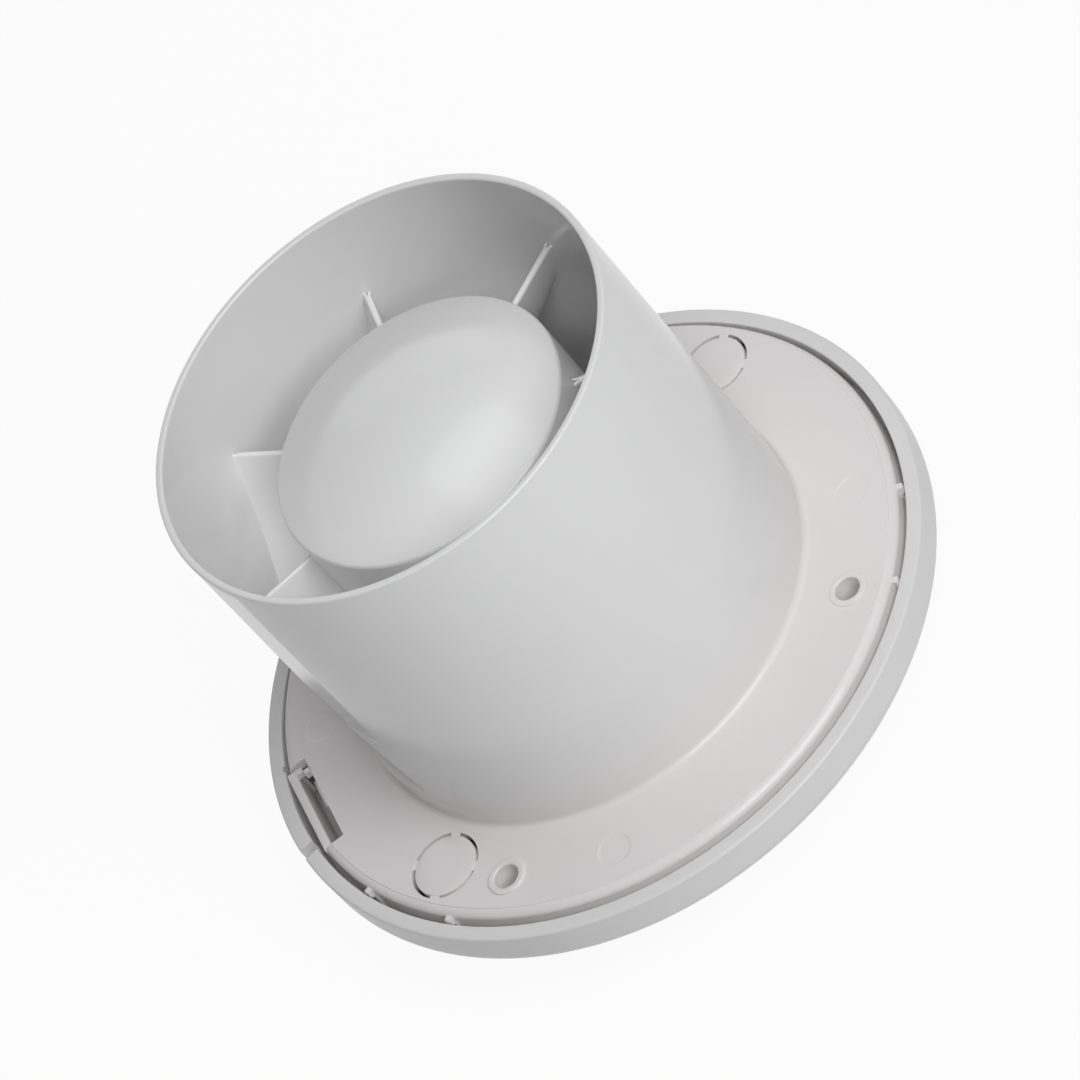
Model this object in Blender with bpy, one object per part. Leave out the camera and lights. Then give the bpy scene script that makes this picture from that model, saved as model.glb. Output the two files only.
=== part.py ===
"""Round axial bathroom extractor fan for a 100 mm duct.

The fan stands on its front panel: +Z runs along the duct, out of the spigot, and the origin is the
centre of the panel's outer face. Angles are measured about +Z from +X, and the four wall screws lie
at 45 degrees to X and Y. Lengths are in metres.
"""

import math

import bmesh
import bpy
from mathutils import Matrix, Vector

MM = 0.001
GAP = 0.3 * MM            # between pieces that touch or rest on each other
SINK = 0.8 * MM           # how far a rib or vane runs into the wall that it grows from
CUT = 1.0 * MM            # how far a cutter stands out of the wall that it cuts
STEP = 0.1 * MM           # between faces of joined solids that would else lie in one plane

# Facets round each size of turned piece
WALL_FACETS = 36
BODY_FACETS = 24
SMALL_FACETS = 10
VANE_ROW_COUNT = 4
BLADE_CHORD_COUNT = 4
BLADE_SPAN_COUNT = 2

# Heights above the front panel's outer face, each from the one that it stands on
PANEL_THICKNESS = 3.0 * MM
INLET_GAP = 8.0 * MM          # height of the air inlet between panel and cover
COVER_FRONT_Z = PANEL_THICKNESS + INLET_GAP
COVER_DEPTH = 15.0 * MM
COVER_BACK_Z = COVER_FRONT_Z + COVER_DEPTH
PLATE_RISE = 1.9 * MM         # the plate's wall face stands out of the cover's rim
PLATE_Z = COVER_BACK_Z + PLATE_RISE
SKIRT_DEPTH = 9.5 * MM
SKIRT_END_Z = PLATE_Z - SKIRT_DEPTH
GUARD_SEAT_DEPTH = 3.0 * MM
GUARD_SEAT_Z = COVER_FRONT_Z + GUARD_SEAT_DEPTH
GUARD_THICKNESS = 1.6 * MM
DUCT_INLET_Z = GUARD_SEAT_Z + GUARD_THICKNESS + 2 * GAP
HUB_SETBACK = 6.8 * MM
HUB_FRONT_Z = DUCT_INLET_Z + HUB_SETBACK
HUB_LENGTH = 27.4 * MM
HUB_REAR_Z = HUB_FRONT_Z + HUB_LENGTH
POD_CLEARANCE = 1.6 * MM      # between the turning hub and the standing pod
POD_OPEN_Z = HUB_REAR_Z + POD_CLEARANCE
POD_LENGTH = 41.2 * MM
POD_EDGE_Z = POD_OPEN_Z + POD_LENGTH
SPIGOT_OVERHANG = 15.8 * MM
RIM_Z = POD_EDGE_Z + SPIGOT_OVERHANG

# Motor
SHAFT_RADIUS = 2.5 * MM
SHAFT_FRONT_Z = HUB_FRONT_Z - 4.2 * MM
FLANGE_Z = POD_OPEN_Z + 9.0 * MM
FLANGE_THICKNESS = 2.0 * MM
BUSH_HOUSING_RADIUS = 7.0 * MM
BUSH_HOUSING_DEPTH = 4.6 * MM
BUSH_HOUSING_FACE = 0.8 * MM
BUSH_RADIUS = 4.4 * MM
BUSH_NECK = 3.4 * MM
BUSH_LENGTH = 5.6 * MM
BUSH_CLEARANCE = 0.1 * MM
BUSH_SETBACK = 2.9 * MM       # from the bracket's inner face to the bush's middle
CLIP_RADIUS = 6.4 * MM
CLIP_BORE = 3.6 * MM
CLIP_THICKNESS = 0.5 * MM
FELT_RADIUS = 6.2 * MM
FELT_BORE = 3.9 * MM
FELT_THICKNESS = 1.2 * MM
THRUST_RADIUS = 4.6 * MM
THRUST_THICKNESS = 0.6 * MM
THRUST_SPACE = 3.6 * MM       # from the bracket's inner face to the thrust washer's middle
CORE_RADIUS = 21.6 * MM
BRACKET_RADIUS = CORE_RADIUS + 0.4 * MM
CORE_LENGTH = 14.0 * MM
YOKE_WIDTH = 5.2 * MM
POLE_COUNT = 4
POLE_FIRST_ANGLE = 49.0
POLE_WIDTH = 6.6 * MM
SHOE_THICKNESS = 1.6 * MM
POLE_LENGTH = 6.8 * MM
ROTOR_RADIUS = CORE_RADIUS - YOKE_WIDTH - POLE_LENGTH
ROTOR_RING_RADIUS = 5.6 * MM
ROTOR_RING_HEIGHT = 1.6 * MM
AIR_GAP = 0.5 * MM
END_SPACE = 6.6 * MM          # between a bracket and the core, where the coils turn over
COIL_WIDTH = 2.0 * MM
COIL_OVERHANG = 3.6 * MM
COIL_EDGE_RADIUS = 1.2 * MM
THROUGH_BOLT_RADIUS = 1.5 * MM
THROUGH_BOLT_ANGLES = (4.0, 184.0)
THROUGH_BOLT_HEAD = 2.6 * MM
THROUGH_BOLT_HEAD_HEIGHT = 1.6 * MM
THROUGH_BOLT_END = 3.0 * MM   # the bolt's length behind the rear bracket
THROUGH_NUT_RADIUS = 2.5 * MM
THROUGH_NUT_HEIGHT = 1.8 * MM
LUG_CIRCLE = BRACKET_RADIUS + 3.6 * MM
LUG_ANGLES = (45.0, 165.0, 285.0)
LUG_HALF = 3.4 * MM
LUG_BOSS_RADIUS = 2.9 * MM
MOUNT_NECK = 2.3 * MM
MOUNT_BEAD = 1.4 * MM
MOUNT_SCREW_RADIUS = 1.5 * MM
MOUNT_SCREW_REACH = 8.4 * MM
MOUNT_SCREW_HEAD = 2.8 * MM
MOUNT_SCREW_HEAD_HEIGHT = 1.8 * MM

# Spigot and back plate
SPIGOT_RADIUS = 49.5 * MM
SPIGOT_DRAFT = 0.3 * MM
SPIGOT_WALL = 1.5 * MM
FOOT_RADIUS = 1.3 * MM
PLATE_BAND = 20.5 * MM        # from the spigot's outside to the plate's edge
PLATE_RADIUS = SPIGOT_RADIUS + PLATE_BAND
PLATE_THICKNESS = 2.2 * MM
PLATE_EDGE_RADIUS = 1.7 * MM
SKIRT_WALL = 1.8 * MM
WALL_SPACE = 4.9 * MM         # from the impeller shroud's bore to the spigot's outside
SHROUD_RADIUS = SPIGOT_RADIUS - WALL_SPACE
SHROUD_WALL = 1.0 * MM
SHROUD_OVERLAP = 6.0 * MM
SHROUD_TOP_Z = POD_OPEN_Z + SHROUD_OVERLAP    # above it the bore opens out to the spigot's
DIFFUSER_START = 1.0 * MM
DIFFUSER_END = 6.6 * MM
DIFFUSER_LIP = 0.4 * MM
BELL_RADIUS = 5.2 * MM
BELL_EDGE = 2.0 * MM          # the shroud's outside is that much shorter than its bore

# Motor pod and guide vanes
POD_WALL = 1.8 * MM
POD_PLAY = 0.7 * MM          # between the motor's lugs and the pod's wall
POD_RADIUS = LUG_CIRCLE + LUG_HALF + POD_PLAY + POD_WALL
POD_CROWN = 8.5 * MM
VANE_COUNT = 7
VANE_FIRST_ANGLE = 182.8
VANE_TOP_Z = POD_EDGE_Z - 5.5 * MM
VANE_HEIGHT = 22.0 * MM
VANE_THICKNESS = 1.3 * MM
VANE_TIP_GAP = 0.5 * MM       # between a vane's end and the spigot's bore
VANE_LEAN = 0.45              # sideways travel per unit of height at the top edge
VANE_CURL = 0.64              # further travel at the bottom edge, as a share of the height

# Wall screws, knock-outs and bosses in the back plate
SCREW_CIRCLE = SPIGOT_RADIUS + 11.9 * MM
SCREW_HOLE = 5.3 * MM
SCREW_BOSS = 8.2 * MM
SCREW_BOSS_RISE = 0.5 * MM
SCREW_ANGLES = (45.0, 135.0, 225.0, 315.0)
KNOCKOUT_INNER_MARGIN = 3.0 * MM
KNOCKOUT_OUTER_MARGIN = 2.5 * MM
KNOCKOUT_DIAMETER = PLATE_BAND - KNOCKOUT_INNER_MARGIN - KNOCKOUT_OUTER_MARGIN
KNOCKOUT_CIRCLE = SPIGOT_RADIUS + KNOCKOUT_INNER_MARGIN + KNOCKOUT_DIAMETER / 2
KNOCKOUT_SLIT = 0.9 * MM
KNOCKOUT_BRIDGE = 24.0        # degrees left standing between two slits
KNOCKOUT_ANGLES = (30.0, 210.0)
KNOCKOUT_TURN = 12.0
BOSS_CIRCLE = SPIGOT_RADIUS + 11.5 * MM
BOSS_DIAMETER = 7.5 * MM
BOSS_HEIGHT = 3.0 * MM
BOSS_ANGLES = (67.5, 157.5, 337.5)

# Flat and pocket on the spigot's outside
FLAT_ANGLE = 193.0
FLAT_DEPTH = 0.85 * MM
FLAT_WALL = 1.0 * MM
FLAT_TOP_Z = RIM_Z - 1.6 * MM
POCKET_ANGLE = 183.0
POCKET_DEPTH = 3.0 * MM
POCKET_HEIGHT = 26.0 * MM
POCKET_END_Z = PLATE_Z + 9.1 * MM
POCKET_TOP_Z = POCKET_END_Z + POCKET_HEIGHT
POCKET_HALF_WIDTH = 17.2 * MM

# Release latch in the plate's edge
LATCH_ANGLE = 174.6
LATCH_THICKNESS = 1.9 * MM
LATCH_BAR_OUTER = PLATE_RADIUS - 0.6 * MM
LATCH_BAR_INNER = LATCH_BAR_OUTER - LATCH_THICKNESS
LATCH_TAB_INNER = LATCH_BAR_INNER - 1.3 * MM
LATCH_WINDOW_INNER = LATCH_BAR_INNER - 3.2 * MM
LATCH_FREE_END = 13.4 * MM
LATCH_ROOT_END = 11.0 * MM
LATCH_END_GAP = 0.9 * MM
LATCH_TAB_WIDTH = 1.5 * MM
LATCH_LOW_Z = SKIRT_END_Z + 1.2 * MM
LATCH_HIGH_Z = PLATE_Z - 0.5 * MM
LATCH_SHELF_WALL = 1.3 * MM
LATCH_SHELF_HEIGHT = 1.4 * MM
LATCH_NOSE_LENGTH = 6.0 * MM
LATCH_NOSE_REACH = 0.7 * MM

# Front cover
COVER_PLAY = 1.2 * MM         # between the plate's edge and the cover's bore, where the guide ribs stand
COVER_BORE = PLATE_RADIUS + COVER_PLAY
COVER_RIM_WALL = 3.3 * MM
COVER_RADIUS = COVER_BORE + COVER_RIM_WALL
COVER_WALL = 2.0 * MM
COVER_SIDE = 6.25 * MM
COVER_SHOULDER = 3.0 * MM
COVER_SLOPE = 20.6
INLET_RADIUS = SHROUD_RADIUS + 1.4 * MM
INLET_LIP = 2.2 * MM
GUARD_SEAT_RADIUS = INLET_RADIUS + 2.4 * MM
COLLAR_WALL = 1.6 * MM
PRY_FROM_ANGLE = 178.9
PRY_TO_ANGLE = 181.0
PRY_DEPTH = 2.5 * MM

# Guide ribs between skirt and cover, in three pairs
RIB_PAIR_ANGLES = (-34.0, 86.0, 206.0)
RIB_PAIR_HALF = 9.2
RIB_WIDTH = 1.4 * MM
RIB_END_BELOW_PLATE = 3.2 * MM

# Front panel
POST_DIAMETER = 4.4 * MM
POST_PLUG = 2.6 * MM
POST_PLAY = 0.25 * MM
POST_BOSS_RISE = 1.6 * MM     # above the cover's inner face
POST_PLUG_LENGTH = 2.2 * MM   # beyond the cover's inner face
POST_CIRCLE = GUARD_SEAT_RADIUS + 2.8 * MM
POST_ANGLES = (30.0, 150.0, 270.0)
PANEL_RADIUS = POST_CIRCLE + 2.8 * MM
PANEL_EDGE_RADIUS = 2.2 * MM
PANEL_HOLLOW = 1.2 * MM
PANEL_RIM_WALL = 1.8 * MM
COVER_FACE_RADIUS = PANEL_RADIUS + 4.0 * MM

# Inlet guard
GUARD_RING_WIDTH = 2.4 * MM
GUARD_SPOKE_COUNT = 12
GUARD_SPOKE_WIDTH = 1.5 * MM
GUARD_BAR_WIDTH = 1.6 * MM
GUARD_HUB = 15.0 * MM
GUARD_MIDDLE_RING = 30.5 * MM

# Impeller
HUB_RADIUS = POD_RADIUS - 1.5 * MM
HUB_WALL = 1.8 * MM
HUB_SHOULDER = 6.0 * MM
HUB_BOSS_WALL = 3.6 * MM
HUB_BOSS_LENGTH = 22.0 * MM
BLADE_COUNT = 9
BLADE_TIP_GAP = 0.7 * MM
BLADE_MIDDLE_Z = HUB_FRONT_Z + 14.0 * MM
BLADE_ROOT_HEIGHT = 20.0 * MM
BLADE_TIP_HEIGHT = 15.0 * MM
BLADE_ROOT_WRAP = 30.0        # degrees from leading to trailing edge
BLADE_TIP_WRAP = 35.0
BLADE_SWEEP = 7.0
BLADE_CAMBER = 0.09           # as a share of the blade's height
BLADE_ROOT_THICKNESS = 2.0 * MM
BLADE_TIP_THICKNESS = 1.2 * MM
WASHER_RADIUS = 5.0 * MM
WASHER_THICKNESS = 0.8 * MM
NUT_RADIUS = 4.0 * MM
NUT_HEIGHT = 2.4 * MM
COLLAR_RADIUS = 4.6 * MM
COLLAR_LENGTH = 2.0 * MM

# Wiring chamber
LEAD_RADIUS = 0.8 * MM
LEAD_SPACING = 2.0 * MM
LEAD_ANGLE = -92.0
LEAD_Z = POD_OPEN_Z + 1.6 * MM
TERMINAL_ANGLE = 247.5
TERMINAL_CIRCLE = SPIGOT_RADIUS + 10.9 * MM
TERMINAL_LENGTH = 24.0 * MM
TERMINAL_WIDTH = 10.6 * MM
TERMINAL_HEIGHT = 7.0 * MM
TERMINAL_POLE_COUNT = 3
TERMINAL_STANDOFF = 1.0 * MM  # between the block and the plate's underside
TOWER_RISE = 1.2 * MM         # the towers stand that much out of the strip
TOWER_INSET = 1.6 * MM
TOWER_HALF = 2.7 * MM
WELL_RADIUS = 1.9 * MM
WELL_DEPTH = 3.4 * MM
WIRE_HOLE_HALF = 1.5 * MM
WIRE_HOLE_LOW = 2.6 * MM      # above the block's low face
WIRE_HOLE_HIGH = 5.4 * MM
WIRE_Z = 4.0 * MM             # a wire's middle above the block's low face
SCREW_RADIUS = 0.9 * MM
SCREW_PASSAGE = 1.3 * MM      # radius of the holes that the small screws pass through
SCREW_BORE = 1.1 * MM         # radius of the holes that they are driven into
SCREW_HEAD_HEIGHT = 1.2 * MM
BLOCK_SCREW_HEAD = 1.2 * MM
SCREW_GRIP = 0.8 * MM         # how far a small screw goes into the plate
CLAMP_ANGLE = 232.2
CLAMP_CIRCLE = SPIGOT_RADIUS + 7.9 * MM
CLAMP_LENGTH = 14.6 * MM
CLAMP_WIDTH = 5.0 * MM
CLAMP_THICKNESS = 2.0 * MM
CLAMP_HOLE_SPACING = 10.0 * MM
CLAMP_FOOT_HALF = 2.2 * MM
CLAMP_SCREW_HEAD = 2.0 * MM
CABLE_SPACE = 3.6 * MM

# Colours, roughness and metallic value of each material
WHITE = ((0.69, 0.66, 0.655), 0.32, 0.0)
GREY = ((0.45, 0.46, 0.48), 0.4, 0.0)
STEEL = ((0.52, 0.53, 0.55), 0.35, 1.0)
IRON = ((0.28, 0.28, 0.30), 0.5, 1.0)
COPPER = ((0.72, 0.30, 0.14), 0.35, 1.0)
BRONZE = ((0.55, 0.36, 0.17), 0.45, 1.0)
ZINC = ((0.62, 0.63, 0.65), 0.45, 1.0)
FELT = ((0.80, 0.77, 0.70), 0.95, 0.0)
FIBRE = ((0.23, 0.10, 0.06), 0.7, 0.0)
RUBBER = ((0.03, 0.03, 0.032), 0.7, 0.0)
BROWN_PVC = ((0.16, 0.06, 0.03), 0.5, 0.0)
BLUE_PVC = ((0.03, 0.12, 0.42), 0.5, 0.0)
NYLON = ((0.80, 0.79, 0.74), 0.45, 0.0)


# Building tools


def clear_scene():
    for item in list(bpy.data.objects):
        bpy.data.objects.remove(item, do_unlink=True)


def material_for(name, look):
    """The sub-part's own material, named after it."""
    colour, roughness, metallic = look
    material = bpy.data.materials.get(name) or bpy.data.materials.new(name)
    material.use_nodes = True
    shader = material.node_tree.nodes["Principled BSDF"]
    shader.inputs["Base Color"].default_value = (*colour, 1.0)
    shader.inputs["Roughness"].default_value = roughness
    shader.inputs["Metallic"].default_value = metallic
    return material


def solid(name, bm, look=WHITE):
    """Turns a bmesh into an object with faces pointing outwards."""
    bmesh.ops.recalc_face_normals(bm, faces=bm.faces)
    mesh = bpy.data.meshes.new(name)
    bm.to_mesh(mesh)
    bm.free()
    mesh.shade_smooth()
    mesh.set_sharp_from_angle(angle=math.radians(35))
    mesh.materials.append(material_for(name, look))
    made = bpy.data.objects.new(name, mesh)
    bpy.context.scene.collection.objects.link(made)
    return made


def arc(centre_r, centre_z, radius, start, end, steps):
    """Points of an arc in the turning plane, angles in degrees from +r towards +z."""
    points = []
    for step in range(steps + 1):
        angle = math.radians(start + (end - start) * step / steps)
        points.append((centre_r + radius * math.cos(angle), centre_z + radius * math.sin(angle)))
    return points


def turned(name, outline, steps, look=WHITE, centre=(0.0, 0.0)):
    """A solid of revolution about +Z. An outline that starts and ends on the axis closes itself there."""
    bm = bmesh.new()
    corners = [bm.verts.new((r, 0.0, z)) for r, z in outline]
    on_axis = outline[0][0] < 1e-7 and outline[-1][0] < 1e-7
    count = len(corners) - 1 if on_axis else len(corners)
    sides = [bm.edges.new((corners[i], corners[(i + 1) % len(corners)])) for i in range(count)]
    bmesh.ops.spin(bm, geom=corners + sides, cent=(0, 0, 0), axis=(0, 0, 1), angle=math.tau,
                   steps=steps, use_merge=True, use_duplicate=False)
    bmesh.ops.remove_doubles(bm, verts=bm.verts, dist=1e-7)
    bmesh.ops.translate(bm, verts=bm.verts, vec=(centre[0], centre[1], 0.0))
    return solid(name, bm, look)


def tube(name, outer, inner, low, high, steps, look=WHITE, centre=(0.0, 0.0)):
    """A plain ring between two radii and two heights."""
    outline = [(inner, low), (outer, low), (outer, high), (inner, high)]
    return turned(name, outline, steps, look, centre)


def rod(name, radius, low, high, steps, look=WHITE, centre=(0.0, 0.0)):
    """A plain cylinder standing on the XY plane."""
    outline = [(0.0, low), (radius, low), (radius, high), (0.0, high)]
    return turned(name, outline, steps, look, centre)


def extruded(name, corners, low, high, look=WHITE):
    """A flat outline of (x, y) corners drawn up from one height to another."""
    bm = bmesh.new()
    face = bm.faces.new([bm.verts.new((x, y, low)) for x, y in corners])
    grown = bmesh.ops.extrude_face_region(bm, geom=[face])
    top = [item for item in grown["geom"] if isinstance(item, bmesh.types.BMVert)]
    bmesh.ops.translate(bm, verts=top, vec=(0, 0, high - low))
    return solid(name, bm, look)


def polar(radius, angle):
    return (radius * math.cos(math.radians(angle)), radius * math.sin(math.radians(angle)))


def block(name, angle, out_from, out_to, along_from, along_to, low, high, look=WHITE):
    """A box set square to the radius at an angle: out is away from the axis, along is anticlockwise."""
    out = Vector(polar(1.0, angle))
    along = Vector((-out.y, out.x))
    corners = [out * a + along * b for a, b in ((out_from, along_from), (out_to, along_from),
                                                (out_to, along_to), (out_from, along_to))]
    return extruded(name, [(c.x, c.y) for c in corners], low, high, look)


def sector(name, inner, outer, start, end, low, high, steps, look=WHITE):
    """A piece of ring between two angles."""
    def row(radius, order):
        return [polar(radius, start + (end - start) * i / steps) for i in order]
    corners = row(outer, range(steps + 1)) + row(inner, range(steps, -1, -1))
    return extruded(name, corners, low, high, look)


def combine(base, others, operation):
    """Adds the other solids to the base, or cuts them from it, and removes them."""
    own = base.data.materials[0]
    for other in others:
        change = base.modifiers.new("change", "BOOLEAN")
        change.operation = operation
        change.object = other
        bpy.context.view_layer.update()
        view = bpy.context.evaluated_depsgraph_get()
        mesh = bpy.data.meshes.new_from_object(base.evaluated_get(view))
        base.modifiers.clear()
        old = base.data
        base.data = mesh
        bpy.data.meshes.remove(old)
        bpy.data.objects.remove(other, do_unlink=True)
    tidy(base)
    base.data.materials.clear()
    base.data.materials.append(own)
    return base


def tidy(base):
    """Removes the slivers that a cut leaves and marks the sharp edges again."""
    bm = bmesh.new()
    bm.from_mesh(base.data)
    bmesh.ops.remove_doubles(bm, verts=bm.verts, dist=2e-6)
    bmesh.ops.dissolve_degenerate(bm, edges=bm.edges, dist=2e-6)
    bm.to_mesh(base.data)
    bm.free()
    base.data.shade_smooth()
    base.data.set_sharp_from_angle(angle=math.radians(35))


def turn_about_z(item, angle):
    item.data.transform(Matrix.Rotation(math.radians(angle), 4, "Z"))
    return item


# Housing


def spigot_bore():
    return SPIGOT_RADIUS - SPIGOT_WALL


def duct_outside():
    """Outer radius of the inner duct's straight wall."""
    return SHROUD_RADIUS + SHROUD_WALL


def housing_outline():
    """The turned wall of spigot, plate and skirt, as one closed section."""
    bore = spigot_bore()
    base = SPIGOT_RADIUS + SPIGOT_DRAFT
    under = PLATE_Z - PLATE_THICKNESS
    skirt_in = PLATE_RADIUS - SKIRT_WALL
    edge = PLATE_EDGE_RADIUS
    top = [(bore, RIM_Z - 0.3 * MM), (bore + 0.3 * MM, RIM_Z),
           (SPIGOT_RADIUS - 0.35 * MM, RIM_Z), (SPIGOT_RADIUS, RIM_Z - 0.4 * MM)]
    outside = [(base, PLATE_Z + 6 * MM)]
    foot = arc(base + FOOT_RADIUS, PLATE_Z + FOOT_RADIUS, FOOT_RADIUS, 180, 270, 2)
    rounded = arc(PLATE_RADIUS - edge, PLATE_Z - edge, edge, 90, 0, 2)
    skirt = [(PLATE_RADIUS, SKIRT_END_Z), (skirt_in, SKIRT_END_Z), (skirt_in, under)]
    return top + outside + foot + rounded + skirt + [(bore, under)]


def duct_outline():
    """The inner duct round the impeller: bell mouth, straight wall and a flare up to the spigot's bore."""
    out = duct_outside()
    plug = spigot_bore() - GAP
    plug_low = SHROUD_TOP_Z - 0.6 * MM
    flare_end = SHROUD_TOP_Z + DIFFUSER_END
    bell_out = arc(out + BELL_RADIUS, DUCT_INLET_Z + BELL_RADIUS + BELL_EDGE, BELL_RADIUS, 180, 262, 2)
    bell_in = arc(SHROUD_RADIUS + BELL_RADIUS, DUCT_INLET_Z + BELL_RADIUS, BELL_RADIUS, 262, 180, 2)
    flare = [(SHROUD_RADIUS, SHROUD_TOP_Z + DIFFUSER_START), (plug - DIFFUSER_LIP, flare_end)]
    return [(plug, flare_end), (plug, plug_low), (out, plug_low)] + bell_out + bell_in + flare


def pod():
    """The motor's housing: a can with a shallow domed end, open towards the impeller."""
    inner = POD_RADIUS - POD_WALL
    sphere = (POD_RADIUS ** 2 + POD_CROWN ** 2) / (2 * POD_CROWN)
    centre = POD_EDGE_Z + POD_CROWN - sphere
    steps = 4
    outside, inside = [], []
    for step in range(steps + 1):
        r = POD_RADIUS * step / steps
        outside.append((r, centre + math.sqrt(sphere ** 2 - r ** 2)))
        r = inner * (steps - step) / steps
        inside.append((r, centre + math.sqrt((sphere - POD_WALL) ** 2 - r ** 2)))
    outline = outside + [(POD_RADIUS, POD_OPEN_Z), (inner, POD_OPEN_Z)] + inside
    return turned("motor_pod", outline, BODY_FACETS)


def vane_offset(depth):
    """How far a vane has swung at a depth below its top edge, measured at the spigot's bore."""
    return VANE_LEAN * depth + VANE_CURL * VANE_HEIGHT * (depth / VANE_HEIGHT) ** 4


def vane(angle):
    """A curved guide vane whose top edge is radial, ruled from the pod to the spigot's bore."""
    inner = POD_RADIUS - SINK
    outer = spigot_bore() - VANE_TIP_GAP
    bm = bmesh.new()
    rings = []
    for row in range(VANE_ROW_COUNT + 1):
        depth = VANE_HEIGHT * row / VANE_ROW_COUNT
        step = VANE_HEIGHT * 1e-3
        slope = (vane_offset(depth + step) - vane_offset(depth - step)) / (2 * step)
        ring = []
        for radius, side in ((inner, -1), (outer, -1), (outer, 1), (inner, 1)):
            lean = math.atan(slope * radius / spigot_bore())
            across = side * VANE_THICKNESS / 2
            turn = vane_offset(depth) / spigot_bore() + across * math.cos(lean) / radius
            height = VANE_TOP_Z - depth + across * math.sin(lean) * (1 if row else 0)
            x, y = polar(radius, angle + math.degrees(turn))
            ring.append(bm.verts.new((x, y, height)))
        rings.append(ring)
    for upper, lower in zip(rings, rings[1:]):
        for i in range(4):
            bm.faces.new((upper[i], upper[(i + 1) % 4], lower[(i + 1) % 4], lower[i]))
    bm.faces.new(rings[0])
    bm.faces.new(rings[-1][::-1])
    bmesh.ops.triangulate(bm, faces=bm.faces)
    return solid("vane", bm)


def lead_bridge():
    """A spoke under the vanes that carries the motor leads across the air way."""
    half = LEAD_SPACING / 2 + LEAD_RADIUS + 1.0 * MM
    low = LEAD_Z - LEAD_RADIUS - 0.6 * MM
    return block("lead_bridge", LEAD_ANGLE, POD_RADIUS - SINK, SHROUD_RADIUS - 2 * GAP,
                 -half, half, low, LEAD_Z + LEAD_RADIUS + 1.4 * MM)


def lead_channel():
    """The open channel on the spoke's inlet side, with its notch in the pod and hole in the duct."""
    half = LEAD_SPACING / 2 + LEAD_RADIUS + 0.3 * MM
    return block("lead_channel", LEAD_ANGLE, POD_RADIUS - POD_WALL - 2 * MM, duct_outside() + 0.4 * MM,
                 -half, half, POD_OPEN_Z - 2 * MM, LEAD_Z + LEAD_RADIUS + 0.4 * MM)


def lug_boss_inner_end(radius):
    """Height of the dome's inner face above a circle inside the pod."""
    sphere = (POD_RADIUS ** 2 + POD_CROWN ** 2) / (2 * POD_CROWN)
    centre = POD_EDGE_Z + POD_CROWN - sphere
    return centre + math.sqrt((sphere - POD_WALL) ** 2 - radius ** 2)


def mount_top_z():
    """Top of the rubber bushes that the motor hangs on."""
    return FLANGE_Z + FLANGE_THICKNESS + MOUNT_BEAD


def motor_bosses():
    """Three pillars from the dome, for the motor's screws."""
    made = []
    for angle in LUG_ANGLES:
        made.append(rod("motor_boss", LUG_BOSS_RADIUS, mount_top_z() + GAP,
                        lug_boss_inner_end(LUG_CIRCLE) + SINK, 8, centre=polar(LUG_CIRCLE, angle)))
    return made


def boss_bores():
    end = mount_top_z() + MOUNT_SCREW_REACH + 2 * GAP
    return [rod("bore", MOUNT_SCREW_RADIUS + GAP, mount_top_z() - CUT, end, 8,
                centre=polar(LUG_CIRCLE, angle)) for angle in LUG_ANGLES]


def plate_ribs_and_bosses():
    """What stands on the plate's two faces and on the skirt."""
    under = PLATE_Z - PLATE_THICKNESS
    made = []
    for angle in SCREW_ANGLES:
        made.append(rod("screw_boss", SCREW_BOSS / 2, SKIRT_END_Z + 1.2 * MM,
                        PLATE_Z + SCREW_BOSS_RISE, SMALL_FACETS + 1, centre=polar(SCREW_CIRCLE, angle)))
    for angle in BOSS_ANGLES:
        made.append(rod("boss", BOSS_DIAMETER / 2, under - BOSS_HEIGHT, under + SINK, 8,
                        centre=polar(BOSS_CIRCLE, angle)))
    for middle in RIB_PAIR_ANGLES:
        for side in (-1, 1):
            made.append(block("guide_rib", middle + side * RIB_PAIR_HALF, PLATE_RADIUS - SINK,
                              COVER_BORE - GAP, -RIB_WIDTH / 2, RIB_WIDTH / 2,
                              SKIRT_END_Z + 0.8 * MM, PLATE_Z - RIB_END_BELOW_PLATE))
    return made


def wall_screw_holes():
    return [rod("hole", SCREW_HOLE / 2, SKIRT_END_Z, PLATE_Z + SCREW_BOSS_RISE + CUT, SMALL_FACETS,
                centre=polar(SCREW_CIRCLE, angle)) for angle in SCREW_ANGLES]


def knockout_slits():
    """Four slits round each knock-out, with a bridge left between each two."""
    made = []
    outer = KNOCKOUT_DIAMETER / 2
    for place in KNOCKOUT_ANGLES:
        middle = Vector((*polar(KNOCKOUT_CIRCLE, place), 0.0))
        for quarter in range(4):
            start = place + KNOCKOUT_TURN + 90 * quarter + KNOCKOUT_BRIDGE / 2
            slit = sector("slit", outer - KNOCKOUT_SLIT, outer, start, start + 90 - KNOCKOUT_BRIDGE,
                          PLATE_Z - PLATE_THICKNESS - CUT, PLATE_Z + CUT, 2)
            slit.data.transform(Matrix.Translation(middle))
            made.append(slit)
    return made


def latch_opening():
    """The window in the plate and skirt that the latch stands in."""
    return block("latch_opening", LATCH_ANGLE, LATCH_WINDOW_INNER, PLATE_RADIUS + 2 * CUT,
                 -LATCH_FREE_END, LATCH_ROOT_END, LATCH_LOW_Z - GAP, PLATE_Z + CUT)


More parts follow.
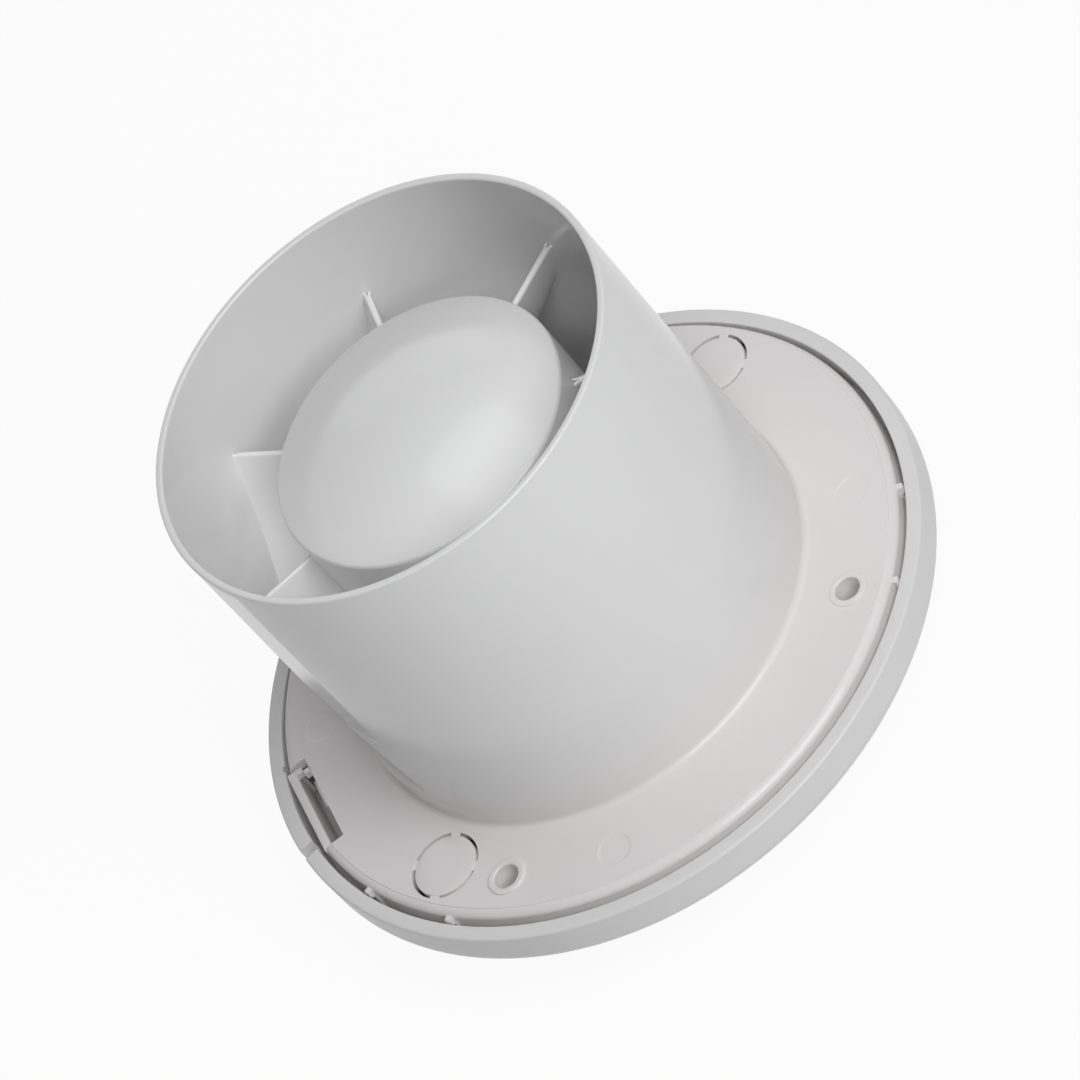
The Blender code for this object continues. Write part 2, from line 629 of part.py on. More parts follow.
def latch_shelf():
    """A web under the window that stops the latch from being pushed too far."""
    under = PLATE_Z - PLATE_THICKNESS
    wall = block("shelf_wall", LATCH_ANGLE, LATCH_WINDOW_INNER - LATCH_SHELF_WALL,
                 LATCH_WINDOW_INNER - STEP, -LATCH_FREE_END, LATCH_ROOT_END, LATCH_LOW_Z, under + SINK)
    web = block("shelf_web", LATCH_ANGLE, LATCH_WINDOW_INNER - 0.8 * MM, LATCH_TAB_INNER - 0.4 * MM,
                -LATCH_FREE_END + 3 * MM, -2.4 * MM, LATCH_LOW_Z, LATCH_LOW_Z + LATCH_SHELF_HEIGHT)
    return combine(wall, [web], "UNION")


def spigot_flat(inside):
    """The slab behind the flat, or the cutter that makes it, set square to the flat's radius."""
    face = SPIGOT_RADIUS + SPIGOT_DRAFT / 2 - FLAT_DEPTH
    half = math.sqrt(SPIGOT_RADIUS ** 2 - face ** 2)
    if inside:
        return block("flat_slab", FLAT_ANGLE, face - FLAT_WALL, face + FLAT_DEPTH / 2,
                     -half, half, SHROUD_TOP_Z + DIFFUSER_END + GAP, FLAT_TOP_Z)
    return block("flat_cut", FLAT_ANGLE, face, face + 4 * MM, -half * 1.6, half * 1.6,
                 POCKET_TOP_Z - 8 * MM, FLAT_TOP_Z)


def pocket_backing():
    """Solid wall between the spigot's skin and the inner duct, behind the pocket."""
    half = math.degrees((POCKET_HALF_WIDTH + SPIGOT_WALL) / SPIGOT_RADIUS)
    return sector("pocket_backing", duct_outside() + GAP, SPIGOT_RADIUS - 0.5 * MM,
                  POCKET_ANGLE - half, POCKET_ANGLE + half, POCKET_END_Z - 2 * MM,
                  SHROUD_TOP_Z - 0.6 * MM - GAP, 4)


def pocket_cutter():
    """A wedge that deepens towards the plate and ends square."""
    face = SPIGOT_RADIUS + SPIGOT_DRAFT / 2
    out = Vector((*polar(1.0, POCKET_ANGLE), 0.0))
    along = Vector((-out.y, out.x, 0.0))
    profile = [(face, POCKET_TOP_Z), (face + 4 * MM, POCKET_TOP_Z),
               (face + 4 * MM, POCKET_END_Z), (face - POCKET_DEPTH, POCKET_END_Z)]
    bm = bmesh.new()
    rows = []
    for side in (-1, 1):
        end = along * (side * (POCKET_HALF_WIDTH + 4 * MM))
        rows.append([bm.verts.new(out * r + end + Vector((0, 0, z))) for r, z in profile])
    for i in range(4):
        bm.faces.new((rows[0][i], rows[0][(i + 1) % 4], rows[1][(i + 1) % 4], rows[1][i]))
    bm.faces.new(rows[0])
    bm.faces.new(rows[1])
    return solid("pocket_cutter", bm)


def build_housing():
    """Spigot, back plate and skirt with everything that stands on them."""
    housing = turned("housing", housing_outline(), WALL_FACETS)
    added = [spigot_flat(True), pocket_backing()] + plate_ribs_and_bosses() + [latch_shelf()]
    combine(housing, added, "UNION")
    combine(housing, [spigot_flat(False), pocket_cutter(), latch_opening()]
            + wall_screw_holes() + knockout_slits() + terminal_bores(), "DIFFERENCE")
    return housing


def build_inner_duct():
    duct = turned("inner_duct", duct_outline(), WALL_FACETS)
    return combine(duct, [lead_channel()], "DIFFERENCE")


def build_motor_pod():
    """The domed can with the guide vanes, the motor's screw bosses and the spoke for the leads."""
    body = pod()
    vanes = [vane(VANE_FIRST_ANGLE + 360.0 * i / VANE_COUNT) for i in range(VANE_COUNT)]
    combine(body, vanes + motor_bosses() + [lead_bridge()], "UNION")
    return combine(body, [lead_channel()] + boss_bores(), "DIFFERENCE")


# Release latch


def build_latch():
    """A sprung bar on the plate's edge, with a finger tab at its free end and a hooked nose outside."""
    bar = block("release_latch", LATCH_ANGLE, LATCH_BAR_INNER, LATCH_BAR_OUTER,
                -LATCH_FREE_END + LATCH_END_GAP, LATCH_ROOT_END - GAP, LATCH_LOW_Z, LATCH_HIGH_Z)
    tab_end = -LATCH_FREE_END + LATCH_END_GAP + STEP
    tab = block("tab", LATCH_ANGLE, LATCH_TAB_INNER, LATCH_BAR_INNER + SINK,
                tab_end, tab_end + LATCH_TAB_WIDTH,
                LATCH_LOW_Z + 1.8 * MM, LATCH_HIGH_Z - 0.2 * MM)
    nose = block("nose", LATCH_ANGLE, LATCH_BAR_OUTER - SINK, LATCH_BAR_OUTER + LATCH_NOSE_REACH,
                 -LATCH_NOSE_LENGTH, 0.0, LATCH_LOW_Z + 0.6 * MM, LATCH_LOW_Z + 2.0 * MM)
    combine(bar, [tab, nose], "UNION")
    root = beside(LATCH_ANGLE, (LATCH_BAR_INNER + LATCH_BAR_OUTER) / 2, LATCH_ROOT_END - GAP)
    place = Vector((*root, LATCH_HIGH_Z))
    bar.data.transform(Matrix.Translation(-place))
    bar.location = place
    return bar


# Front cover, guard and panel


def cover_outline():
    """The cover's section: side wall, rounded shoulder, shallow cone, inlet lip and guard seat."""
    slope = math.radians(COVER_SLOPE)
    shoulder_z = COVER_BACK_Z - COVER_SIDE
    side = [(COVER_BORE, COVER_BACK_Z), (COVER_RADIUS - 0.4 * MM, COVER_BACK_Z),
            (COVER_RADIUS, COVER_BACK_Z - 0.4 * MM)]
    shoulder = arc(COVER_RADIUS - COVER_SHOULDER, shoulder_z, COVER_SHOULDER, 0, COVER_SLOPE - 90, 2)
    face = [(COVER_FACE_RADIUS + 1.5 * MM, COVER_FRONT_Z + 0.35 * MM),
            (COVER_FACE_RADIUS - 1.5 * MM, COVER_FRONT_Z)]
    lip = arc(INLET_RADIUS + INLET_LIP, COVER_FRONT_Z + INLET_LIP, INLET_LIP, 270, 180, 2)
    seat = [(INLET_RADIUS, GUARD_SEAT_Z), (GUARD_SEAT_RADIUS, GUARD_SEAT_Z),
            (GUARD_SEAT_RADIUS, DUCT_INLET_Z - GAP), (GUARD_SEAT_RADIUS + COLLAR_WALL, DUCT_INLET_Z - GAP),
            (GUARD_SEAT_RADIUS + COLLAR_WALL, COVER_FRONT_Z + COVER_WALL)]
    inner_z = COVER_FRONT_Z + COVER_WALL
    inner_reach = COVER_BORE - 0.6 * MM
    rise = (inner_reach - COVER_FACE_RADIUS) * math.tan(slope)
    inside = [(COVER_FACE_RADIUS, inner_z), (inner_reach, inner_z + rise),
              (COVER_BORE, inner_z + rise + 0.6 * MM)]
    return side + shoulder + face + lip + seat + inside


def post_seat_z():
    return COVER_FRONT_Z + COVER_WALL


def build_cover():
    cover = turned("front_cover", cover_outline(), WALL_FACETS)
    high = post_seat_z() + POST_BOSS_RISE
    bosses = [rod("post_boss", POST_DIAMETER / 2 + 0.4 * MM, COVER_FRONT_Z + SINK, high,
                  SMALL_FACETS, centre=polar(POST_CIRCLE, angle)) for angle in POST_ANGLES]
    combine(cover, bosses, "UNION")
    sockets = [rod("socket", POST_PLUG / 2 + POST_PLAY, COVER_FRONT_Z - CUT, high + CUT,
                   SMALL_FACETS, centre=polar(POST_CIRCLE, angle)) for angle in POST_ANGLES]
    recess = sector("recess", COVER_BORE - 2 * MM, COVER_RADIUS + 2 * MM, PRY_FROM_ANGLE, PRY_TO_ANGLE,
                    COVER_BACK_Z - PRY_DEPTH, COVER_BACK_Z + 2 * MM, 8)
    combine(cover, sockets + [recess], "DIFFERENCE")
    return cover


def build_guard():
    """The finger guard in the inlet: a rim, a middle ring, a hub and thin spokes."""
    low = GUARD_SEAT_Z + GAP
    high = low + GUARD_THICKNESS
    rim = GUARD_SEAT_RADIUS - GAP
    guard = tube("inlet_guard", rim, rim - GUARD_RING_WIDTH, low, high, BODY_FACETS)
    width = GUARD_BAR_WIDTH
    middle = tube("middle", GUARD_MIDDLE_RING + width / 2, GUARD_MIDDLE_RING - width / 2, low, high, 16)
    hub = tube("hub", GUARD_HUB, GUARD_HUB - 2 * width, low, high, SMALL_FACETS)
    spokes = [block("spoke", 360.0 * i / GUARD_SPOKE_COUNT + 15, GUARD_HUB - width, rim - width,
                    -GUARD_SPOKE_WIDTH / 2, GUARD_SPOKE_WIDTH / 2, low + STEP, high - STEP)
              for i in range(GUARD_SPOKE_COUNT)]
    return combine(guard, [middle, hub] + spokes, "UNION")


def build_panel():
    """The round front panel with its rounded edge, back rim and three plug-in posts."""
    edge = PANEL_EDGE_RADIUS
    back = PANEL_THICKNESS - PANEL_HOLLOW
    rim = PANEL_RADIUS - PANEL_RIM_WALL
    outline = [(0.0, 0.0)] + arc(PANEL_RADIUS - edge, edge, edge, 270, 360, 2)
    outline += [(PANEL_RADIUS, PANEL_THICKNESS), (rim, PANEL_THICKNESS), (rim - 0.6 * MM, back), (0.0, back)]
    panel = turned("front_panel", outline, WALL_FACETS)
    foot = back - SINK / 2
    tip = post_seat_z() + POST_PLUG_LENGTH
    shaft = [(0.0, foot), (POST_DIAMETER / 2, foot),
             (POST_DIAMETER / 2, COVER_FRONT_Z - GAP), (POST_PLUG / 2, COVER_FRONT_Z - GAP),
             (POST_PLUG / 2, tip - 0.8 * MM), (POST_PLUG / 2 - 0.5 * MM, tip), (0.0, tip)]
    posts = [turned("post", shaft, SMALL_FACETS, centre=polar(POST_CIRCLE, angle)) for angle in POST_ANGLES]
    return combine(panel, posts, "UNION")


# Impeller


def blade_point(chord, span):
    """A point of the blade's middle surface. Both run from 0 to 1: leading to trailing, hub to tip."""
    tip = SHROUD_RADIUS - BLADE_TIP_GAP
    root = HUB_RADIUS - SINK
    radius = root + (tip - root) * span
    height = BLADE_ROOT_HEIGHT + (BLADE_TIP_HEIGHT - BLADE_ROOT_HEIGHT) * span
    wrap = BLADE_ROOT_WRAP + (BLADE_TIP_WRAP - BLADE_ROOT_WRAP) * span
    angle = wrap * (chord - 0.5) - BLADE_SWEEP * span ** 2
    z = BLADE_MIDDLE_Z + height * (chord - 0.5 - BLADE_CAMBER * math.sin(math.pi * chord))
    return Vector((*polar(radius, angle), z))


def blade():
    """A twisted, cambered blade with a rounded nose, as a closed skin about its middle surface."""
    chords = BLADE_CHORD_COUNT
    spans = BLADE_SPAN_COUNT
    bm = bmesh.new()
    sides = []
    for side in (-1, 1):
        rows = []
        for j in range(spans + 1):
            span = j / spans
            thick = BLADE_ROOT_THICKNESS + (BLADE_TIP_THICKNESS - BLADE_ROOT_THICKNESS) * span
            row = []
            for i in range(chords + 1):
                chord = i / chords
                here = blade_point(chord, span)
                along = blade_point(chord + 0.01, span) - blade_point(chord - 0.01, span)
                across = blade_point(chord, span + 0.01) - blade_point(chord, span - 0.01)
                normal = along.cross(across).normalized()
                full = math.sqrt(max(0.0, 1 - (1.9 * chord - 0.95) ** 4))
                radial = Vector((here.x, here.y, 0.0)).normalized()
                push = normal - radial * normal.dot(radial)
                row.append(bm.verts.new(here + push.normalized() * (side * thick / 2 * full)))
            rows.append(row)
        sides.append(rows)
    for rows in sides:
        for j in range(spans):
            for i in range(chords):
                bm.faces.new((rows[j][i], rows[j][i + 1], rows[j + 1][i + 1], rows[j + 1][i]))
    lower, upper = sides
    border = [(0, i) for i in range(chords)] + [(j, chords) for j in range(spans)]
    border += [(spans, i) for i in range(chords, 0, -1)] + [(j, 0) for j in range(spans, 0, -1)]
    for (j, i), (k, m) in zip(border, border[1:] + border[:1]):
        bm.faces.new((lower[j][i], lower[k][m], upper[k][m], upper[j][i]))
    bmesh.ops.triangulate(bm, faces=bm.faces)
    return solid("blade", bm, GREY)


def hub_outline():
    """A cup that covers the motor's open end, with a boss for the shaft."""
    inner = HUB_RADIUS - HUB_WALL
    boss = SHAFT_RADIUS + HUB_BOSS_WALL
    boss_end = HUB_FRONT_Z + HUB_BOSS_LENGTH
    bore = SHAFT_RADIUS + GAP / 2
    face = HUB_FRONT_Z + HUB_WALL
    nose = arc(HUB_RADIUS - HUB_SHOULDER, HUB_FRONT_Z + HUB_SHOULDER, HUB_SHOULDER, 270, 360, 3)
    cup = arc(HUB_RADIUS - HUB_SHOULDER, HUB_FRONT_Z + HUB_SHOULDER, HUB_SHOULDER - HUB_WALL, 360, 270, 2)
    return [(bore, HUB_FRONT_Z)] + nose + [(HUB_RADIUS, HUB_REAR_Z), (inner, HUB_REAR_Z)] + cup + [
        (boss + 1 * MM, face), (boss, face + 1 * MM), (boss, boss_end), (bore, boss_end)]


def build_impeller():
    impeller = turned("impeller", hub_outline(), BODY_FACETS, GREY)
    blades = [turn_about_z(blade(), 360.0 * i / BLADE_COUNT) for i in range(BLADE_COUNT)]
    combine(impeller, blades, "UNION")
    return impeller


def build_impeller_fixings():
    """Washer and nut on the shaft's front end, and the steel collar behind the hub."""
    washer_high = HUB_FRONT_Z - GAP
    washer_low = washer_high - WASHER_THICKNESS
    nut_high = washer_low - GAP / 2
    nut_low = nut_high - NUT_HEIGHT
    bore = SHAFT_RADIUS + GAP / 2
    washer = tube("impeller_washer", WASHER_RADIUS, bore, washer_low, washer_high, 16, STEEL)
    corners = [polar(NUT_RADIUS, 60 * i) for i in range(6)]
    nut = extruded("impeller_nut", corners, nut_low, nut_high, STEEL)
    combine(nut, [rod("bore", bore, nut_low - CUT, nut_high + CUT, 12)], "DIFFERENCE")
    collar_low = HUB_FRONT_Z + HUB_BOSS_LENGTH + GAP
    collar = tube("shaft_collar", COLLAR_RADIUS, bore, collar_low, collar_low + COLLAR_LENGTH, 16, STEEL)
    return [washer, nut, collar]


# Motor


def core_low():
    return FLANGE_Z + FLANGE_THICKNESS + END_SPACE


def rear_bracket_low():
    return core_low() + CORE_LENGTH + END_SPACE


def shaft_rear_z():
    """The shaft ends just behind the rear bracket's bearing cup."""
    return rear_bracket_low() + FLANGE_THICKNESS + BUSH_HOUSING_DEPTH + 0.2 * MM


def bolt_circle():
    return CORE_RADIUS - YOKE_WIDTH / 2


def build_shaft():
    chamfer = 0.4 * MM
    rear = shaft_rear_z()
    outline = [(0.0, SHAFT_FRONT_Z), (SHAFT_RADIUS - chamfer, SHAFT_FRONT_Z),
               (SHAFT_RADIUS, SHAFT_FRONT_Z + chamfer), (SHAFT_RADIUS, rear - chamfer),
               (SHAFT_RADIUS - chamfer, rear), (0.0, rear)]
    return turned("motor_shaft", outline, 12, STEEL)


def build_rotor():
    """Laminated rotor with its cast end rings."""
    low = core_low()
    high = low + CORE_LENGTH
    bore = SHAFT_RADIUS + GAP / 2
    ring = ROTOR_RING_HEIGHT
    inner = ROTOR_RING_RADIUS
    outline = [(bore, low), (inner, low), (inner, low - ring), (ROTOR_RADIUS - 0.5 * MM, low - ring),
               (ROTOR_RADIUS - 0.5 * MM, low), (ROTOR_RADIUS, low), (ROTOR_RADIUS, high),
               (ROTOR_RADIUS - 0.5 * MM, high), (ROTOR_RADIUS - 0.5 * MM, high + ring),
               (inner, high + ring), (inner, high), (bore, high)]
    return turned("rotor", outline, 14, IRON)


def build_stator():
    """Laminated ring with four poles that reach in to the rotor."""
    low = core_low()
    high = low + CORE_LENGTH
    core = tube("stator_core", CORE_RADIUS, CORE_RADIUS - YOKE_WIDTH, low, high, 20, IRON)
    face = ROTOR_RADIUS + AIR_GAP
    parts = []
    for i in range(POLE_COUNT):
        angle = POLE_FIRST_ANGLE + 360.0 * i / POLE_COUNT
        parts.append(block("pole", angle, face + 0.6 * MM, CORE_RADIUS - YOKE_WIDTH + SINK,
                           -POLE_WIDTH / 2, POLE_WIDTH / 2, low + STEP, high - STEP))
        shoe = math.degrees(POLE_WIDTH / 2 / face) + 6
        parts.append(sector("shoe", face, face + SHOE_THICKNESS, angle - shoe, angle + shoe,
                            low + 2 * STEP, high - 2 * STEP, 4))
    combine(core, parts, "UNION")
    return combine(core, bolt_holes(low - CUT, high + CUT), "DIFFERENCE")


def build_coils():
    """One coil on each pole, a rounded frame of wire between shoe and yoke."""
    made = []
    inner = ROTOR_RADIUS + AIR_GAP + SHOE_THICKNESS + GAP + STEP
    outer = CORE_RADIUS - YOKE_WIDTH - 1.2 * MM
    low = core_low() - GAP
    high = core_low() + CORE_LENGTH + GAP
    half = POLE_WIDTH / 2 + GAP
    for i in range(POLE_COUNT):
        angle = POLE_FIRST_ANGLE + 360.0 * i / POLE_COUNT
        coil = block("coil_%d" % (i + 1), angle, inner, outer, -half - COIL_WIDTH, half + COIL_WIDTH,
                     low - COIL_OVERHANG, high + COIL_OVERHANG, COPPER)
        soften(coil, COIL_EDGE_RADIUS, angle)
        window = block("window", angle, inner - CUT, outer + CUT, -half, half, low, high)
        made.append(combine(coil, [window], "DIFFERENCE"))
    return made


def soften(item, width, angle):
    """Rounds the radial edges of a block set at an angle."""
    out = Vector((*polar(1.0, angle), 0.0))
    bm = bmesh.new()
    bm.from_mesh(item.data)
    chosen = []
    for edge in bm.edges:
        run = (edge.verts[1].co - edge.verts[0].co).normalized()
        if abs(run.dot(out)) > 0.99:
            chosen.append(edge)
    bmesh.ops.bevel(bm, geom=chosen, offset=width, segments=3, affect="EDGES", profile=0.5)
    bm.to_mesh(item.data)
    bm.free()


def bracket_outline(face_z, side):
    """A dished plate with a bearing cup. Side is -1 for the cup below the plate, 1 for above."""
    thick = FLANGE_THICKNESS
    far = face_z + side * (thick + BUSH_HOUSING_DEPTH)
    lip = far - side * BUSH_HOUSING_FACE
    back = face_z + side * thick
    ring = BUSH_RADIUS + GAP
    return [(ring - 1.2 * MM, far), (BUSH_HOUSING_RADIUS, far), (BUSH_HOUSING_RADIUS, back),
            (BRACKET_RADIUS, back), (BRACKET_RADIUS, face_z), (ring, face_z),
            (ring, lip), (ring - 1.2 * MM, lip)]


def build_brackets():
    front_face = FLANGE_Z + FLANGE_THICKNESS
    front = turned("front_bracket", bracket_outline(front_face, -1), 14, ZINC)
    lugs = [block("lug", angle, BRACKET_RADIUS - 2 * MM, LUG_CIRCLE + LUG_HALF, -LUG_HALF, LUG_HALF,
                  FLANGE_Z + STEP, front_face - STEP) for angle in LUG_ANGLES]
    combine(front, lugs, "UNION")
    holes = [rod("hole", MOUNT_NECK + GAP, FLANGE_Z - CUT, front_face + CUT, 10,
                 centre=polar(LUG_CIRCLE, angle)) for angle in LUG_ANGLES]
    combine(front, holes + bolt_holes(FLANGE_Z - CUT, front_face + CUT), "DIFFERENCE")
    rear_face = rear_bracket_low()
    rear = turned("rear_bracket", bracket_outline(rear_face, 1), 14, ZINC)
    combine(rear, bolt_holes(rear_face - CUT, rear_face + FLANGE_THICKNESS + CUT), "DIFFERENCE")
    return [front, rear]


def bolt_holes(low, high):
    return [rod("hole", THROUGH_BOLT_RADIUS + GAP / 2, low, high, 12, centre=polar(bolt_circle(), angle))
            for angle in THROUGH_BOLT_ANGLES]


def build_bearings():
    """Self-aligning bushes in the brackets, with felt rings, spring clips and thrust washers."""
    made = []
    bore = SHAFT_RADIUS + BUSH_CLEARANCE
    for name, face, side in (("front", FLANGE_Z + FLANGE_THICKNESS, -1), ("rear", rear_bracket_low(), 1)):
        middle = face + side * BUSH_SETBACK
        half = BUSH_LENGTH / 2 - 0.4 * MM
        outline = [(bore, middle - half), (BUSH_NECK, middle - half)]
        outline += [(BUSH_RADIUS - 0.3 * MM, middle - half * 0.55), (BUSH_RADIUS, middle),
                    (BUSH_RADIUS - 0.3 * MM, middle + half * 0.55)]
        outline += [(BUSH_NECK, middle + half), (bore, middle + half)]
        made.append(turned(name + "_bush", outline, 12, BRONZE))
        clip_half = CLIP_THICKNESS / 2
        felt_half = FELT_THICKNESS / 2
        washer_half = THRUST_THICKNESS / 2
        clip = face - side * (GAP + clip_half)
        felt = clip - side * (clip_half + GAP + felt_half)
        washer = face - side * THRUST_SPACE
        made.append(tube(name + "_bush_clip", CLIP_RADIUS, CLIP_BORE,
                         clip - clip_half, clip + clip_half, 12, STEEL))
        made.append(tube(name + "_oil_felt", FELT_RADIUS, FELT_BORE,
                         felt - felt_half, felt + felt_half, 12, FELT))
        made.append(tube(name + "_thrust_washer", THRUST_RADIUS, SHAFT_RADIUS + GAP / 2,
                         washer - washer_half, washer + washer_half, 12, FIBRE))
    return made


def build_through_bolts():
    """Two long screws and nuts that hold brackets and core together."""
    made = []
    under = FLANGE_Z - GAP
    head_low = under - THROUGH_BOLT_HEAD_HEIGHT
    end = rear_bracket_low() + FLANGE_THICKNESS
    tip = end + THROUGH_BOLT_END
    for number, angle in enumerate(THROUGH_BOLT_ANGLES, 1):
        place = polar(bolt_circle(), angle)
        outline = [(0.0, head_low), (THROUGH_BOLT_HEAD, head_low), (THROUGH_BOLT_HEAD, under),
                   (THROUGH_BOLT_RADIUS, under), (THROUGH_BOLT_RADIUS, tip), (0.0, tip)]
        made.append(turned("through_bolt_%d" % number, outline, 12, STEEL, centre=place))
        corners = [polar(THROUGH_NUT_RADIUS, 60 * i) for i in range(6)]
        corners = [(x + place[0], y + place[1]) for x, y in corners]
        nut = extruded("through_nut_%d" % number, corners, end + GAP, end + GAP + THROUGH_NUT_HEIGHT, STEEL)
        hole = rod("hole", THROUGH_BOLT_RADIUS + GAP / 2, end - CUT, tip + CUT, 12, centre=place)
        made.append(combine(nut, [hole], "DIFFERENCE"))
    return made


def build_motor_mounts():
    """Rubber bushes in the bracket's lugs and the screws that pass through them into the pod."""
    made = []
    low = FLANGE_Z - MOUNT_BEAD
    high = mount_top_z()
    neck = MOUNT_NECK
    bead = LUG_HALF
    for number, angle in enumerate(LUG_ANGLES, 1):
        place = polar(LUG_CIRCLE, angle)
        bore = MOUNT_SCREW_RADIUS + GAP / 2
        outline = [(bore, low), (bead, low), (bead, FLANGE_Z - GAP), (neck, FLANGE_Z - GAP),
                   (neck, FLANGE_Z + FLANGE_THICKNESS + GAP), (bead, FLANGE_Z + FLANGE_THICKNESS + GAP),
                   (bead, high), (bore, high)]
        made.append(turned("mount_rubber_%d" % number, outline, 8, RUBBER, centre=place))
        head = low - GAP
        tip = high + MOUNT_SCREW_REACH
        crown = head - MOUNT_SCREW_HEAD_HEIGHT
        shoulder = head - MOUNT_SCREW_HEAD_HEIGHT / 2
        outline = [(0.0, crown), (MOUNT_SCREW_HEAD - SINK, crown), (MOUNT_SCREW_HEAD, shoulder),
                   (MOUNT_SCREW_HEAD, head), (MOUNT_SCREW_RADIUS, head),
                   (MOUNT_SCREW_RADIUS, tip - 0.9 * MM), (0.0, tip)]
        made.append(turned("motor_screw_%d" % number, outline, 8, STEEL, centre=place))
    return made


# Wiring


def terminal_low():
    return PLATE_Z - PLATE_THICKNESS - TERMINAL_STANDOFF - TERMINAL_HEIGHT


def pole_offset(index):
    """Place of a terminal pole along the block. The fixing screw stands between two of them."""
    return (index - (TERMINAL_POLE_COUNT - 1) / 2) * TERMINAL_LENGTH / TERMINAL_POLE_COUNT


def beside(angle, out, along):
    """A point out from the axis at an angle and along the chord there."""
    x, y = polar(out, angle)
    dx, dy = polar(along, angle + 90)
    return (x + dx, y + dy)


def fixing_places():
    return [beside(TERMINAL_ANGLE, TERMINAL_CIRCLE, (pole_offset(i) + pole_offset(i + 1)) / 2)
            for i in range(TERMINAL_POLE_COUNT - 1)]


def clamp_places():
    return [polar(CLAMP_CIRCLE + side * CLAMP_HOLE_SPACING / 2, CLAMP_ANGLE) for side in (-1, 1)]


def terminal_bores():
    """Blind holes in the plate's underside for the block's and the clamp's screws."""
    under = PLATE_Z - PLATE_THICKNESS
    return [rod("bore", SCREW_BORE, under - CUT, under + SCREW_GRIP + 0.4 * MM, 10, centre=place)
            for place in fixing_places() + clamp_places()]


def build_terminal_block():
    """A three-pole strip with a screw well and a wire hole for each pole."""
    low = terminal_low()
    high = low + TERMINAL_HEIGHT
    half = TERMINAL_WIDTH / 2
    strip = block("terminal_block", TERMINAL_ANGLE, TERMINAL_CIRCLE - half, TERMINAL_CIRCLE + half,
                  -TERMINAL_LENGTH / 2, TERMINAL_LENGTH / 2, low + TOWER_RISE, high, NYLON)
    near = TERMINAL_CIRCLE - half
    far = TERMINAL_CIRCLE + half
    towers, cuts = [], []
    for index in range(TERMINAL_POLE_COUNT):
        along = pole_offset(index)
        towers.append(block("tower", TERMINAL_ANGLE, near + TOWER_INSET, far - TOWER_INSET,
                            along - TOWER_HALF, along + TOWER_HALF, low, high - 1 * MM))
        cuts.append(rod("well", WELL_RADIUS, low - CUT, low + WELL_DEPTH, 12,
                        centre=beside(TERMINAL_ANGLE, TERMINAL_CIRCLE, along)))
        cuts.append(block("wire_hole", TERMINAL_ANGLE, near - CUT, far + CUT,
                          along - WIRE_HOLE_HALF, along + WIRE_HOLE_HALF,
                          low + WIRE_HOLE_LOW, low + WIRE_HOLE_HIGH))
    cuts += [rod("hole", SCREW_PASSAGE, low - CUT, high + CUT, 10, centre=place) for place in fixing_places()]
    combine(strip, towers, "UNION")
    return combine(strip, cuts, "DIFFERENCE")


def screw(name, place, head_low, head_radius, head_height, end_z, look=STEEL):
    """A small screw, head down, driven upwards."""
    top = head_low + head_height
    outline = [(0.0, head_low), (head_radius, head_low), (head_radius, top), (SCREW_RADIUS, top),
               (SCREW_RADIUS, end_z), (0.0, end_z)]
    return turned(name, outline, 8, look, centre=place)


def build_terminal_screws():
    made = []
    low = terminal_low()
    under = PLATE_Z - PLATE_THICKNESS
    for index in range(TERMINAL_POLE_COUNT):
        place = beside(TERMINAL_ANGLE, TERMINAL_CIRCLE, pole_offset(index))
        made.append(screw("terminal_screw_%d" % (index + 1), place, low + 0.3 * MM, 1.6 * MM, 1.6 * MM,
                          low + 3.0 * MM, look=BRONZE))
    for number, place in enumerate(fixing_places(), 1):
        made.append(screw("block_screw_%d" % number, place, low + TOWER_RISE - GAP - SCREW_HEAD_HEIGHT,
                          BLOCK_SCREW_HEAD, SCREW_HEAD_HEIGHT, under + SCREW_GRIP))
    return made


def build_cable_clamp():
    """A bowed bar across the incoming cable, with a screw at each end."""
    under = PLATE_Z - PLATE_THICKNESS
    high = under - CABLE_SPACE
    low = high - CLAMP_THICKNESS
    half = CLAMP_WIDTH / 2
    bar = block("cable_clamp", CLAMP_ANGLE, CLAMP_CIRCLE - CLAMP_LENGTH / 2,
                CLAMP_CIRCLE + CLAMP_LENGTH / 2, -half, half, low, high, NYLON)
    feet = []
    for side in (-1, 1):
        middle = CLAMP_CIRCLE + side * CLAMP_HOLE_SPACING / 2
        feet.append(block("foot", CLAMP_ANGLE, middle - CLAMP_FOOT_HALF, middle + CLAMP_FOOT_HALF,
                          0.4 * MM - half, half - 0.4 * MM, high - SINK, under - GAP))
    combine(bar, feet, "UNION")
    holes = [rod("hole", SCREW_PASSAGE, low - CUT, under, 10, centre=place) for place in clamp_places()]
    combine(bar, holes, "DIFFERENCE")
    screws = [screw("clamp_screw_%d" % number, place, low - GAP - SCREW_HEAD_HEIGHT, CLAMP_SCREW_HEAD,
                    SCREW_HEAD_HEIGHT, under + SCREW_GRIP) for number, place in enumerate(clamp_places(), 1)]
    return [bar] + screws


